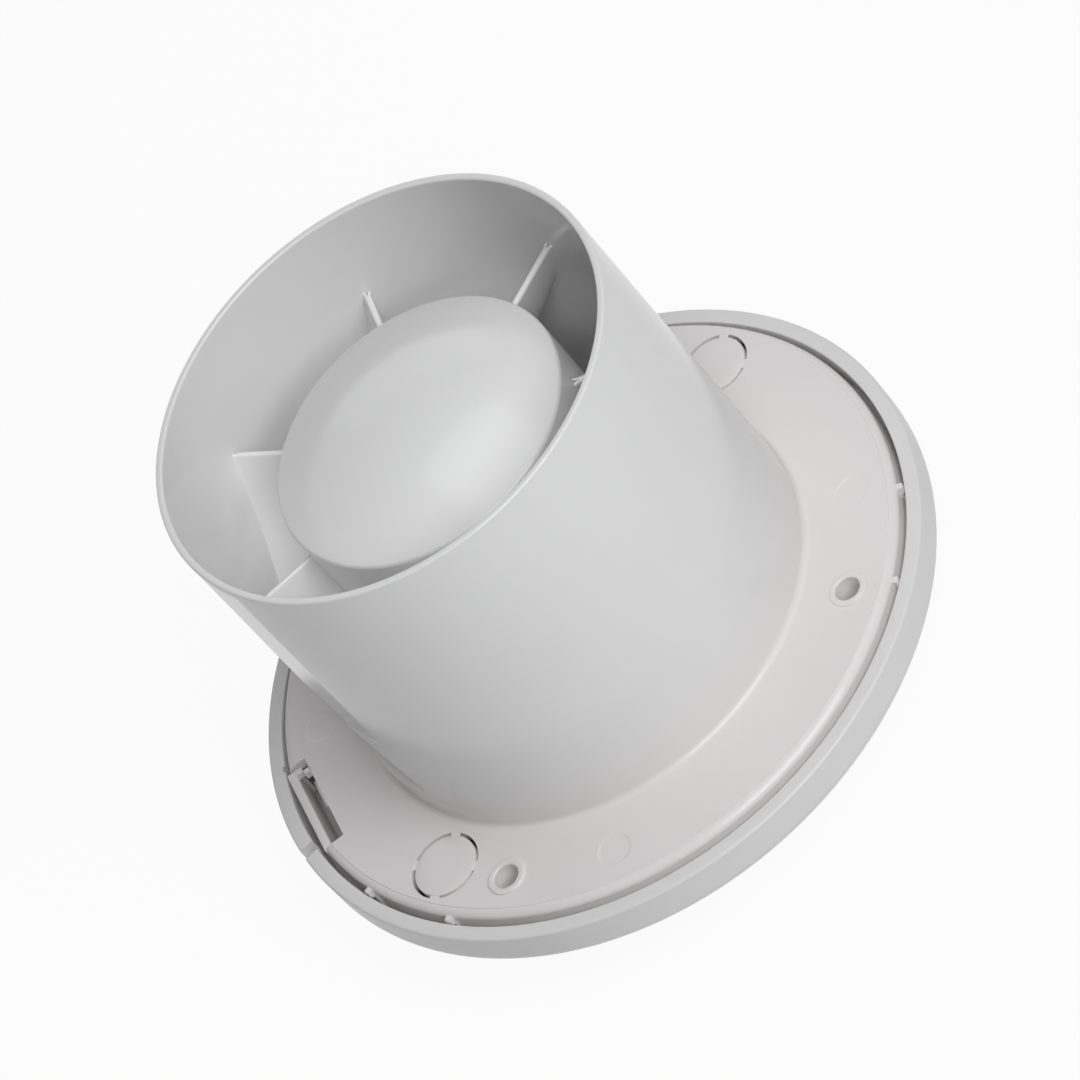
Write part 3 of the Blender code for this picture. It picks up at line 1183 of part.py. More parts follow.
def lead_route(side):
    """Centre line of a motor lead: out of the pod, along the spoke, down between the walls, to the
    terminal block."""
    cavity = (spigot_bore() + duct_outside()) / 2
    under = PLATE_Z - PLATE_THICKNESS
    offset = side * LEAD_SPACING / 2
    down = math.degrees(offset / cavity)
    points = [beside(LEAD_ANGLE, CORE_RADIUS - 3.0 * MM, offset) + (FLANGE_Z - 4.2 * MM,),
              beside(LEAD_ANGLE, CORE_RADIUS + 3.4 * MM, offset) + (LEAD_Z + 0.6 * MM,),
              beside(LEAD_ANGLE, POD_RADIUS, offset) + (LEAD_Z,),
              beside(LEAD_ANGLE, SHROUD_RADIUS - 2 * MM, offset) + (LEAD_Z,),
              beside(LEAD_ANGLE, SHROUD_RADIUS + 0.9 * MM, offset) + (LEAD_Z - 0.7 * MM,)]
    for drop in (3.6 * MM, 10 * MM, 20 * MM):
        points.append(polar(cavity, LEAD_ANGLE + down) + (LEAD_Z - drop,))
    points += [polar(cavity, LEAD_ANGLE + down) + (under - 0.4 * MM,)]
    if side > 0:
        points += [polar(cavity + 4 * MM, LEAD_ANGLE - 1) + (under - 2.0 * MM,)]
    else:
        points += [polar(cavity + 0.8 * MM, LEAD_ANGLE - 4) + (under - 3.6 * MM,)]
    pole = pole_offset(2 if side > 0 else 1)
    target = TERMINAL_CIRCLE - TERMINAL_WIDTH / 2 - GAP
    wire_z = terminal_low() + WIRE_Z
    points += [beside(TERMINAL_ANGLE, target - 3.4 * MM, pole) + (wire_z,),
               beside(TERMINAL_ANGLE, target + 2.2 * MM, pole) + (wire_z,)]
    return points


def smooth_path(points, per_piece):
    """Points along a smooth curve through the given ones."""
    places = [Vector(p) for p in points]
    ends = [2 * places[0] - places[1]] + places + [2 * places[-1] - places[-2]]
    path = []
    for i in range(1, len(ends) - 2):
        a, b, c, d = ends[i - 1:i + 3]
        for k in range(per_piece):
            t = k / per_piece
            path.append(0.5 * (2 * b + (c - a) * t + (2 * a - 5 * b + 4 * c - d) * t ** 2
                               + (3 * b - a - 3 * c + d) * t ** 3))
    path.append(places[-1])
    return path


def build_leads():
    made = []
    for name, side, look in (("motor_lead_live", -1, BROWN_PVC), ("motor_lead_neutral", 1, BLUE_PVC)):
        curve = bpy.data.curves.new(name, "CURVE")
        curve.dimensions = "3D"
        curve.bevel_depth = LEAD_RADIUS
        curve.bevel_resolution = 1
        curve.use_fill_caps = True
        path = smooth_path(lead_route(side), 2)
        line = curve.splines.new("POLY")
        line.points.add(len(path) - 1)
        for point, place in zip(line.points, path):
            point.co = (*place, 1.0)
        curve.materials.append(material_for(name, look))
        lead = bpy.data.objects.new(name, curve)
        bpy.context.scene.collection.objects.link(lead)
        made.append(lead)
    return made


def build_fan():
    clear_scene()
    build_housing()
    build_inner_duct()
    build_motor_pod()
    build_latch()
    build_cover()
    build_guard()
    build_panel()
    build_impeller()
    build_impeller_fixings()
    build_shaft()
    build_rotor()
    build_stator()
    build_coils()
    build_brackets()
    build_bearings()
    build_through_bolts()
    build_motor_mounts()
    build_terminal_block()
    build_terminal_screws()
    build_cable_clamp()
    build_leads()


build_fan()
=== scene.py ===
"""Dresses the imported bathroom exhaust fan: fine moulded surfaces, plastics and metals, studio and camera.

Heights run along the duct axis from the front panel's outer face (z = 0) to the spigot's rim. Angles are
in degrees about that axis from +X. The fan's lengths are in millimetres and become metres in the meshes.
"""

import math

import bmesh
import bpy
import numpy as np
from mathutils import Matrix, Vector


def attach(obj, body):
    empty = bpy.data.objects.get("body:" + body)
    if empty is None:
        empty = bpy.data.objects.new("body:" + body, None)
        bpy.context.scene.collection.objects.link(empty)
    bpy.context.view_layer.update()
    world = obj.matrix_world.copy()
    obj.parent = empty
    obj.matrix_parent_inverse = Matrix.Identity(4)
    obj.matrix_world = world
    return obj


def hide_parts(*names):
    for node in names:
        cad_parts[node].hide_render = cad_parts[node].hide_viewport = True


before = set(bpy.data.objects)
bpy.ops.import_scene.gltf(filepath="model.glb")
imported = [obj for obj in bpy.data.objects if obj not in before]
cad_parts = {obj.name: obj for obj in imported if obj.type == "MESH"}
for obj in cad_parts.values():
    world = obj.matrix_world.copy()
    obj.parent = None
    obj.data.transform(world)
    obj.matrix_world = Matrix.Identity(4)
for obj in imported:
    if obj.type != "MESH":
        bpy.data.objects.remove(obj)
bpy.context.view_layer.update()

bl_info = {
    "name": "Bathroom exhaust fan",
    "version": (1, 0, 0),
    "blender": (4, 5, 0),
    "location": "3D View > Sidebar > Fan",
    "description": "Builds the moulded surfaces, finishes and studio of a round duct fan",
    "category": "Object",
}

MM = 0.001
WELD = 3e-6                   # metres: points of neighbouring grids closer than that become one
SLIVER = 1e-7                 # metres: shorter edges go
HAIR = 0.01                   # between two rows that make a sharp step, and between points for a slope
ROUND = np.arange(0, 360, 3.0)  # angles of the columns of a surface that goes right round

# Spigot's wall, and a faint gate mark low on it
RIM_Z = 109.0
SPIGOT = 49.5
SPIGOT_DRAFT = 0.3
DRAFT_RISE = 8.0
BORE = 48.0
RIM_ROUND_OUT = 0.45
RIM_ROUND_IN = 0.5
FOOT = 1.3
FINE_TOP = 66.0               # the wall's rows are close together up to there
COARSE_TOP = 106.0            # and further apart up to there
GATE_ANGLE = 206.5
GATE_Z = 38.5
GATE_RADIUS = 5.0
GATE_WIDTH = 0.35
GATE_DEPTH = 0.12

# Flat on the wall and the pocket that deepens towards the plate, with a thicker wall behind each
CUT_SPAN = 60.0               # degrees either way within which such a plane is worked out
FLAT_ANGLE = 193.0
FLAT_FACE = 48.8
FLAT_WALL = 1.0
FLAT_TOP = RIM_Z - 1.6
FLAT_END = 55.0
SLAB_END = 65.0
POCKET_ANGLE = 183.0
POCKET_DEPTH = 3.0
POCKET_TOP = 63.0
POCKET_END = 37.0
BACKING = 45.9
BACKING_SPAN = 22.0
BACKING_LOW = 35.0
BACKING_TOP = 57.1

# Inner duct
SHROUD = 44.6
SHROUD_OUT = 45.6
PLUG_Z = 57.4
PLUG = BORE + 0.02
FLARE_TOP = 80.0
INLET_Z = 16.2
BELL = 5.2

# Back plate, its skirt and the ribs on it
PLATE_Z = 27.9
UNDER_Z = 25.7
PLATE_FACE = 68.3
PLATE_EDGE = 70.0
EDGE_STEP = 0.2
SKIRT_Z = 18.4
SKIRT_ROUND = 0.3
RIB_PAIRS = (-34.0, 86.0, 206.0)
RIB_SPREAD = 9.2
RIB_HALF = 0.7

# Motor pod, its bosses, the guide vanes and the spoke for the leads
POD = 31.5
POD_WALL = 1.8
POD_EDGE = 93.2
POD_CROWN = 8.5
POD_ROUND = 1.1
POD_OPEN = 52.0
BOSS_ANGLES = (45.0, 165.0, 285.0)
BOSS_CIRCLE = 25.6
VANE_COUNT = 7
VANE_FIRST = 182.8
VANE_TOP = RIM_Z - 21.3
VANE_HEIGHT = 22.0
VANE_HALF = 0.65
VANE_FILLET = 0.8
VANE_LEAN = 0.45
VANE_CURL = 0.64
LEAD_ANGLE = -92.0

# Release latch and its window: Q is the distance out from the axis, square to the chord at the latch's angle
LATCH_ANGLE = 174.6
WINDOW_Q = 64.3
SHELF_Q = WINDOW_Q - 1.3
STOPS_Q = 65.8
TAB_Q = 65.9
FREE_END = 13.4
ROOT_END = 11.0
BAR_IN = 67.5
BAR_OUT = 69.4
LATCH_LOW = 19.6
LATCH_HIGH = 27.4
TONGUE_SIDES = (-10.7, -9.5)
WEB_LOW = 22.4
WEB_HIGH = 23.8
NOSE_LENGTH = 6.0

# Screw holes, knock-outs and sink marks in the plate
SCREW_CIRCLE = 61.4
SCREW_BOSS = 4.1
SCREW_HOLE = 2.65
SCREW_RISE = 0.5
SCREW_LOW = 19.6
KNOCKOUT_CIRCLE = 60.0
KNOCKOUT = 7.5
KNOCKOUT_SLIT = 0.65
BRIDGE_TURN = 12.0
BRIDGE_SPAN = 9.0
MARK_CIRCLE = 61.0
MARK = 3.75
SINK = 0.09
SINK_DISH = 0.05
BLIND_BOSS = 3.0

# Cover; its notch and nick set in between the first two angles and end between the last two
COVER = 74.5
COVER_BORE = 71.2
COVER_BACK = 26.0
COVER_FRONT = 11.0
COVER_SLOPE = 20.6
SIDE_Z = COVER_BACK - 6.25
SHOULDER = 3.0
INSIDE_Z = 13.0
CONE_START = 58.0
INLET = 46.0
INLET_ROUND = 2.2
NOTCH_SIDES = (178.89, 178.91, 180.99, 181.01)
NOTCH_DEPTH = 2.5
NOTCH_FADE = (21.0, 2.5)      # height at which the lowering starts, and over which it grows
NICK_SIDES = (160.79, 160.81, 162.04, 162.06)
NICK_DEPTH = 0.8
NICK_LOW = 23.5

# Guard in the cover's inlet: outer and inner radius of each ring
GUARD_SEAT = 48.4
GUARD_LOW = 14.3
GUARD_HIGH = 15.9
GUARD_RINGS = ((48.1, 45.7), (31.3, 29.7), (15.0, 11.8))
SPOKE_COUNT = 12
SPOKE_FIRST = 15.0
SPOKE_HALF = 0.75
SPOKE_REACH = (13.4, 46.5)

# Front panel and its posts
PANEL = 54.0
PANEL_EDGE = 2.2
PANEL_BACK = 3.0
PANEL_FLOOR = 1.8
POST_CIRCLE = 51.2
POST_ANGLES = (30.0, 150.0, 270.0)
POST = 2.2
POST_SHOULDER = 10.7
POST_PLUG = 1.3
POST_END = 15.2

# Impeller
HUB = 30.0
HUB_WALL = 1.8
HUB_FRONT = 23.0
HUB_REAR = 50.4
HUB_ROUND = 6.0
SHAFT_HOLE = 2.65
SHAFT_BOSS = 6.1
SHAFT_BOSS_END = 45.0
BLADE_COUNT = 9
BLADE_ROOT = 29.2
BLADE_TIP = 43.9
BLADE_Z = 37.0
BLADE_HEIGHT = 20.0
BLADE_WRAP = 30.0
BLADE_CHANGE = 5.0            # less height in mm, and more wrap in degrees, at the tip than at the root
BLADE_SWEEP = 7.0
BLADE_CAMBER = 0.09
BLADE_THICK = 2.0
BLADE_THINNING = 0.8

HOUSING_BODY = "housing_set"
COVER_BODY = "cover_set"
PANEL_BODY = "panel"
IMPELLER_BODY = "impeller_set"
LATCH_BODY = "latch"


# Grids and meshes


class Skin:
    """Collects grids of points in millimetres and joins them into one mesh."""

    def __init__(self):
        self.points = []
        self.faces = []
        self.count = 0

    def grid(self, x, y, z, wrap=False):
        """Adds rows and columns of points, a face between each four; wrap closes each row on itself."""
        x, y, z = np.broadcast_arrays(x, y, z)
        rows, cols = x.shape
        index = np.arange(rows * cols).reshape(rows, cols) + self.count
        nxt = np.roll(index, -1, axis=1) if wrap else index[:, 1:]
        here = index if wrap else index[:, :-1]
        quads = np.stack([here[:-1], nxt[:-1], nxt[1:], here[1:]], axis=-1)
        self.points.append(np.stack([x, y, z], axis=-1).reshape(-1, 3))
        self.faces.append(quads.reshape(-1, 4))
        self.count += rows * cols

    def polar(self, radius, angle, z, wrap=False):
        """A grid by radius, angle and height: radius times cosine, radius times sine, height."""
        a = np.radians(angle)
        self.grid(radius * np.cos(a), radius * np.sin(a), z, wrap)

    def chordal(self, angle, out, along, z):
        """A grid by distance out at an angle, distance anticlockwise along the chord there, and height."""
        a = math.radians(angle)
        self.grid(out * math.cos(a) - along * math.sin(a), out * math.sin(a) + along * math.cos(a), z)

    def add(self, other, turn=0.0):
        """Adds another skin's grids, turned about the duct axis."""
        a = math.radians(turn)
        spin = np.array([[math.cos(a), math.sin(a), 0], [-math.sin(a), math.cos(a), 0], [0, 0, 1]])
        for points, faces in zip(other.points, other.faces):
            self.points.append(points @ spin)
            self.faces.append(faces + self.count)
        self.count += other.count

    def build(self, name, material, body, node, slot, sharp=32):
        """Makes the piece: welds the grids, turns the faces outwards and sets it on its body."""
        points = np.concatenate(self.points) * MM
        faces = np.concatenate(self.faces)
        mesh = bpy.data.meshes.new(name)
        mesh.vertices.add(len(points))
        mesh.vertices.foreach_set("co", points.ravel())
        mesh.loops.add(4 * len(faces))
        mesh.loops.foreach_set("vertex_index", faces.ravel())
        mesh.polygons.add(len(faces))
        mesh.polygons.foreach_set("loop_start", np.arange(len(faces)) * 4)
        mesh.polygons.foreach_set("loop_total", np.full(len(faces), 4))
        mesh.update(calc_edges=True)
        bm = bmesh.new()
        bm.from_mesh(mesh)
        bmesh.ops.remove_doubles(bm, verts=bm.verts, dist=WELD)
        bmesh.ops.dissolve_degenerate(bm, edges=bm.edges, dist=SLIVER)
        bmesh.ops.recalc_face_normals(bm, faces=bm.faces)
        bm.to_mesh(mesh)
        bm.free()
        mesh.shade_smooth()
        mesh.set_sharp_from_angle(angle=math.radians(sharp))
        mesh.materials.append(material)
        piece = bpy.data.objects.new(name, mesh)
        bpy.context.scene.collection.objects.link(piece)
        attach(piece, body)
        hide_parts(node)


def line(start, end, steps):
    """Points of a straight line, both ends included."""
    share = np.linspace(0, 1, steps + 1)[:, None]
    return np.array(start)[None, :] * (1 - share) + np.array(end)[None, :] * share


def arc(centre, radius, start, end, steps):
    """Points of an arc: the centre plus the radius times cosine and sine of an even run of angles."""
    a = np.radians(np.linspace(start, end, steps + 1))
    return np.stack([centre[0] + radius * np.cos(a), centre[1] + radius * np.sin(a)], axis=-1)


def chain(*parts):
    """Joins stretches of an outline and drops repeated points."""
    points = np.concatenate([np.atleast_2d(part) for part in parts])
    keep = np.ones(len(points), dtype=bool)
    keep[1:] = np.hypot(*(points[1:] - points[:-1]).T) > 1e-6
    return points[keep]


def looped(section):
    """A section with its first point again at its end."""
    return np.concatenate([section, section[:1]])


def spot(radius, angle):
    """The point at a radius and an angle: radius times cosine and sine."""
    a = math.radians(angle)
    return np.array([radius * math.cos(a), radius * math.sin(a)])


def turned(skin, outline, centre=(0.0, 0.0), angles=ROUND, wrap=True):
    """Adds a surface of revolution: every (radius, z) point of the outline swept round its centre."""
    a = np.radians(angles)[None, :]
    r, z = outline[:, :1], outline[:, 1:]
    skin.grid(centre[0] + r * np.cos(a), centre[1] + r * np.sin(a), z, wrap)


def swept(skin, section, angle, start, end, steps=1):
    """Carries an (out, z) section along the chord at an angle and closes both ends towards its middle."""
    closed = looped(section)
    places = np.linspace(start, end, steps + 1)[:, None]
    skin.chordal(angle, closed[None, :, 0], places, closed[None, :, 1])
    cap = np.stack([closed, np.broadcast_to(section.mean(axis=0), closed.shape)])
    for place in (start, end):
        skin.chordal(angle, cap[:, :, 0], place, cap[:, :, 1])


def rounded_box(low, high, radius, steps=3):
    """The outline of a rectangle with a quarter arc at each corner."""
    (x0, z0), (x1, z1) = low, high
    r = min(radius, (x1 - x0) / 2, (z1 - z0) / 2)
    return chain(arc((x1 - r, z0 + r), r, -90, 0, steps), arc((x1 - r, z1 - r), r, 0, 90, steps),
                 arc((x0 + r, z1 - r), r, 90, 180, steps), arc((x0 + r, z0 + r), r, 180, 270, steps))


# Finishes


FLOW_SCALE = 28.0
GLOSS_DRIFT = 0.10            # between the glossiest and the dullest spot of a moulding
GRAIN_HEIGHT = 0.2 * MM
METAL_MOTTLE = 0.12
PLASTIC_IOR = 1.5


def socket(group, name, kind, default=None):
    """Adds an input with its default to a node group, or an output where there is none."""
    side = "OUTPUT" if default is None else "INPUT"
    item = group.interface.new_socket(name=name, in_out=side, socket_type=kind)
    if default is not None:
        item.default_value = default


def add_node(tree, kind, inputs=None, operation=None):
    """Adds a node with its operation and the values of its inputs, by name or number."""
    node = tree.nodes.new(kind)
    if operation:
        node.operation = operation
    for key, value in (inputs or {}).items():
        node.inputs[key].default_value = value
    return node


def link(tree, a, a_name, b, b_name):
    """Joins an output of one node to an input of another."""
    tree.links.new(a.outputs[a_name], b.inputs[b_name])


def moulding_group():
    """Fine mould texture with faint flow marks: gives a colour, a roughness and a bump height.

    The colour is scaled by one less a share of the mottle that a slow noise sets. The roughness drifts about
    its given value with the same noise. The height is a fine noise.
    """
    name = "moulded surface"
    if name in bpy.data.node_groups:
        return bpy.data.node_groups[name]
    group = bpy.data.node_groups.new(name, "ShaderNodeTree")
    socket(group, "Color", "NodeSocketColor", (0.8, 0.8, 0.8, 1.0))
    socket(group, "Roughness", "NodeSocketFloat", 0.35)
    socket(group, "Mottle", "NodeSocketFloat", 0.02)
    socket(group, "Grain", "NodeSocketFloat", 900.0)
    socket(group, "Color", "NodeSocketColor")
    socket(group, "Roughness", "NodeSocketFloat")
    socket(group, "Height", "NodeSocketFloat")
    given = add_node(group, "NodeGroupInput")
    result = add_node(group, "NodeGroupOutput")
    place = add_node(group, "ShaderNodeTexCoord")
    flow = add_node(group, "ShaderNodeTexNoise", {"Scale": FLOW_SCALE, "Detail": 3.0})
    grain = add_node(group, "ShaderNodeTexNoise", {"Detail": 2.0})
    link(group, place, "Object", flow, "Vector")
    link(group, place, "Object", grain, "Vector")
    link(group, given, "Grain", grain, "Scale")
    shade = add_node(group, "ShaderNodeMapRange", {"From Min": 0.3, "From Max": 0.7, "To Min": 1.0})
    link(group, flow, "Fac", shade, "Value")
    low = add_node(group, "ShaderNodeMath", {0: 1.0}, "SUBTRACT")
    link(group, given, "Mottle", low, 1)
    link(group, low, "Value", shade, "To Max")
    tint = add_node(group, "ShaderNodeVectorMath", operation="SCALE")
    link(group, given, "Color", tint, 0)
    link(group, shade, "Result", tint, "Scale")
    link(group, tint, "Vector", result, "Color")
    rough = add_node(group, "ShaderNodeMath", {1: GLOSS_DRIFT}, "MULTIPLY_ADD")
    link(group, flow, "Fac", rough, 0)
    base = add_node(group, "ShaderNodeMath", {1: GLOSS_DRIFT / 2}, "SUBTRACT")
    link(group, given, "Roughness", base, 0)
    link(group, base, "Value", rough, 2)
    link(group, rough, "Value", result, "Roughness")
    link(group, grain, "Fac", result, "Height")
    return group


def toned_by_height(material, low_color, from_z, to_z):
    """Blends a second tone in below a height, by a smooth step between two heights."""
    tree = material.node_tree
    finish = [node for node in tree.nodes if node.bl_idname == "ShaderNodeGroup"][0]
    place = add_node(tree, "ShaderNodeTexCoord")
    split = add_node(tree, "ShaderNodeSeparateXYZ")
    link(tree, place, "Object", split, "Vector")
    share = add_node(tree, "ShaderNodeMapRange", {"From Min": from_z * MM, "From Max": to_z * MM})
    share.interpolation_type = "SMOOTHSTEP"
    link(tree, split, "Z", share, "Value")
    tone = add_node(tree, "ShaderNodeMix")
    tone.data_type = "RGBA"
    tone.inputs["A"].default_value = (*low_color, 1.0)
    tone.inputs["B"].default_value = finish.inputs["Color"].default_value
    link(tree, share, "Result", tone, "Factor")
    link(tree, tone, "Result", finish, "Color")


def plastic(name, color, roughness, mottle=0.02, grain=900.0, bump=0.02):
    """Moulded plastic: soft colour drift, uneven gloss and a fine mould grain."""
    material = bpy.data.materials.new(name)
    material.use_nodes = True
    tree = material.node_tree
    shader = tree.nodes["Principled BSDF"]
    shader.inputs["IOR"].default_value = PLASTIC_IOR
    finish = tree.nodes.new("ShaderNodeGroup")
    finish.node_tree = moulding_group()
    finish.inputs["Color"].default_value = (*color, 1.0)
    finish.inputs["Roughness"].default_value = roughness
    finish.inputs["Mottle"].default_value = mottle
    finish.inputs["Grain"].default_value = grain
    relief = add_node(tree, "ShaderNodeBump", {"Strength": bump, "Distance": GRAIN_HEIGHT})
    link(tree, finish, "Color", shader, "Base Color")
    link(tree, finish, "Roughness", shader, "Roughness")
    link(tree, finish, "Height", relief, "Height")
    link(tree, relief, "Normal", shader, "Normal")
    return material


def metal(name, color, roughness, metallic=1.0, grain=1400.0, bump=0.05):
    """Plated or cast metal with a fine uneven surface."""
    material = plastic(name, color, roughness, METAL_MOTTLE, grain, bump)
    material.node_tree.nodes["Principled BSDF"].inputs["Metallic"].default_value = metallic
    return material


# Housing


def window_turn(radius, place):
    """Angle of a point at a radius and a place along the latch's chord: its sine is place over radius."""
    return LATCH_ANGLE + np.degrees(np.arcsin(place / radius))


INNER = SPIGOT + SPIGOT_DRAFT + FOOT
WINDOW_TO = float(window_turn(INNER, ROOT_END))
WINDOW_FROM = float(window_turn(INNER, -FREE_END))
FIRST_END = 195.0
LAST_START = 153.0 + 360.0

# Sectors of the plate in order round it: start, end, kind of feature, its angle
SECTORS = [
    (WINDOW_TO, FIRST_END, None, 0),
    (FIRST_END, 219.0, "knockout", 210.0),
    (219.0, 231.0, "screw", 225.0),
    (231.0, 241.0, None, 0),
    (241.0, 254.0, "mark", 247.5),
    (254.0, 309.0, None, 0),
    (309.0, 321.0, "screw", 315.0),
    (321.0, 331.0, None, 0),
    (331.0, 344.0, "mark", 337.5),
    (344.0, 379.0, None, 0),
    (379.0, 399.0, "knockout", 390.0),
    (399.0, 411.0, "screw", 405.0),
    (411.0, 421.0, None, 0),
    (421.0, 434.0, "mark", 427.5),
    (434.0, 489.0, None, 0),
    (489.0, 501.0, "screw", 495.0),
    (501.0, LAST_START, None, 0),
    (LAST_START, WINDOW_FROM + 360.0, "mark", 517.5),
]

# For each kind of feature, the circle that its centre lies on and its radius
PLACES = {
    "screw": (SCREW_CIRCLE, SCREW_BOSS),
    "knockout": (KNOCKOUT_CIRCLE, KNOCKOUT),
    "mark": (MARK_CIRCLE, MARK),
}


def all_columns():
    """Angles of the wall's columns: fine beside the flat, with one on each border of a sector."""
    coarse = np.arange(0, 360, 2.0)
    fine = np.arange(158, 226, 0.5)
    borders = [start % 360 for start, _, _, _ in SECTORS] + [WINDOW_FROM]
    edge = math.degrees(math.acos(FLAT_FACE / (SPIGOT + SPIGOT_DRAFT / 2)))
    borders += [FLAT_ANGLE - edge, FLAT_ANGLE + edge]
    return np.unique(np.round(np.concatenate([coarse, fine, borders]), 5))


COLUMNS = all_columns()


def wall_outline():
    """The wall's section in three stretches: foot, outside up to the rim, and back down the bore.

    The outside leans in by the draft, in proportion to the height above the draft's start.
    """
    base = SPIGOT + SPIGOT_DRAFT
    foot = arc((base + FOOT, PLATE_Z + FOOT), FOOT, 270, 180, 8)
    heights = np.concatenate([
        np.linspace(PLATE_Z + FOOT, POCKET_END - HAIR, 12), np.arange(POCKET_END, FINE_TOP, 0.5),
        np.arange(FINE_TOP, COARSE_TOP, 2.0), np.linspace(COARSE_TOP, FLAT_TOP - 2 * HAIR, 4),
        [FLAT_TOP, FLAT_TOP + 0.2, RIM_Z - RIM_ROUND_IN]])
    share = np.clip((heights - PLATE_Z - DRAFT_RISE) / (RIM_Z - PLATE_Z - DRAFT_RISE), 0, 1)
    outside = np.stack([base - SPIGOT_DRAFT * share, heights], axis=-1)
    lip = chain(arc((SPIGOT - RIM_ROUND_OUT, RIM_Z - RIM_ROUND_OUT), RIM_ROUND_OUT, 0, 90, 5),
                arc((BORE + RIM_ROUND_IN, RIM_Z - RIM_ROUND_IN), RIM_ROUND_IN, 90, 180, 5))
    heights = np.concatenate([
        np.linspace(RIM_Z - 1.2, BACKING_TOP + 0.1, 40), [BACKING_TOP - 0.05],
        np.linspace(BACKING_TOP - 1.1, BACKING_LOW + 1, 8), [BACKING_LOW, BACKING_LOW - 0.1, UNDER_Z + 0.5]])
    bore = np.stack([np.full(len(heights), BORE), heights], axis=-1)
    return foot, outside, chain(lip, bore, [(BORE + 0.5, UNDER_Z), (INNER, UNDER_Z)])


def plane_radius(distance, angle, middle):
    """Radius of an upright plane: its distance from the axis over the cosine of the turn from its middle."""
    return distance / np.cos(np.radians(np.clip(angle - middle, -CUT_SPAN, CUT_SPAN)))


def flatten(radius, angle, z):
    """The wall's outer radius, no more than that of the flat and of the pocket, whose plane leans in."""
    in_flat = (z < FLAT_TOP) & (z > FLAT_END)
    radius = np.where(in_flat, np.minimum(radius, plane_radius(FLAT_FACE, angle, FLAT_ANGLE)), radius)
    face = SPIGOT + SPIGOT_DRAFT / 2 - POCKET_DEPTH * (POCKET_TOP - z) / (POCKET_TOP - POCKET_END)
    in_pocket = (z < POCKET_TOP) & (z >= POCKET_END - HAIR / 2)
    return np.where(in_pocket, np.minimum(radius, plane_radius(face, angle, POCKET_ANGLE)), radius)


def gate_mark(radius, angle, z):
    """The radius less a faint ring low on the wall, by a bell curve of the distance from the ring."""
    across = np.radians(angle - GATE_ANGLE) * SPIGOT
    distance = np.hypot(across, z - GATE_Z)
    return radius - GATE_DEPTH * np.exp(-((distance - GATE_RADIUS) / GATE_WIDTH) ** 2)


def wall_skin():
    """The spigot's wall: its section turned, then cut by the flat and the pocket, and thicker behind each."""
    skin = Skin()
    foot, outside, inside = wall_outline()
    angle = COLUMNS[None, :]
    skin.polar(foot[:, :1], angle, foot[:, 1:], wrap=True)
    z = outside[:, 1:]
    skin.polar(gate_mark(flatten(outside[:, :1], angle, z), angle, z), angle, z, wrap=True)
    slab = plane_radius(FLAT_FACE - FLAT_WALL, angle, FLAT_ANGLE)
    points = chain(outside[-1:], inside)
    r, z = points[:, :1], points[:, 1:]
    r = np.where((z < FLAT_TOP) & (z > SLAB_END) & (r < BORE + 0.1), np.minimum(r, slab), r)
    behind = (z < BACKING_TOP) & (z >= BACKING_LOW) & (np.abs(angle - POCKET_ANGLE) < BACKING_SPAN)
    skin.polar(np.where(behind, BACKING, r), angle, z, wrap=True)
    return skin


def duct_skin():
    """The inner duct: bell mouth, straight wall, and a flare that widens by a smooth step up its height."""
    mouth, bell_z = SHROUD + BELL, INLET_Z + BELL
    bore = arc((mouth, bell_z), BELL, 180, 262, 12)
    lip = [(mouth + 0.1, INLET_Z), (mouth + 0.6, INLET_Z + 0.4), (mouth + 0.3, INLET_Z + 1.2)]
    back = arc((SHROUD_OUT + BELL, bell_z + 2.0), BELL, 258, 180, 10)
    plug = [(SHROUD_OUT, PLUG_Z), (PLUG, PLUG_Z), (PLUG, FLARE_TOP)]
    share = np.linspace(1, 0, 15)[:, None]
    flare = np.hstack([SHROUD + (PLUG - SHROUD) * share * share * (3 - 2 * share),
                       PLUG_Z + 0.1 + (FLARE_TOP - PLUG_Z - 0.2) * share])
    skin = Skin()
    turned(skin, looped(chain(bore, lip, back, plug, flare)))
    return skin


def side_radii(place):
    """Radii down a side of the latch window, with one on the window's inner edge."""
    q_in = math.sqrt(INNER ** 2 - place ** 2)
    inner = np.hypot(np.linspace(q_in, WINDOW_Q, 8), place)
    return np.concatenate([inner, np.linspace(inner[-1], PLATE_FACE, 4)[1:]])


RADII = np.linspace(INNER, PLATE_FACE, 11)


def start_side(start):
    """Radii and angles of a sector's first side."""
    if start == WINDOW_TO:
        radii = side_radii(ROOT_END)
        return radii, window_turn(radii, ROOT_END)
    return RADII, np.full(len(RADII), start)


def end_side(end):
    """Radii and angles of a sector's last side."""
    if end == WINDOW_FROM + 360.0:
        radii = side_radii(-FREE_END)
        return radii, window_turn(radii, -FREE_END) + 360.0
    return RADII, np.full(len(RADII), end)


def sector_columns(start, end):
    """Shares of the sector's width at which its columns stand, matched to the wall's columns."""
    wide = np.concatenate([COLUMNS, COLUMNS + 360.0])
    inside = wide[(wide > start + 1e-4) & (wide < end - 1e-4)]
    return np.concatenate([[0.0], (inside - start) / (end - start), [1.0]])


def sector_grid(start, end):
    """Radius and angle over a sector: each a blend of its two sides by the share of the width."""
    share = sector_columns(start, end)[None, :]
    r0, a0 = start_side(start)
    r1, a1 = end_side(end)
    radius = r0[:, None] * (1 - share) + r1[:, None] * share
    angle = a0[:, None] * (1 - share) + a1[:, None] * share
    return radius, angle


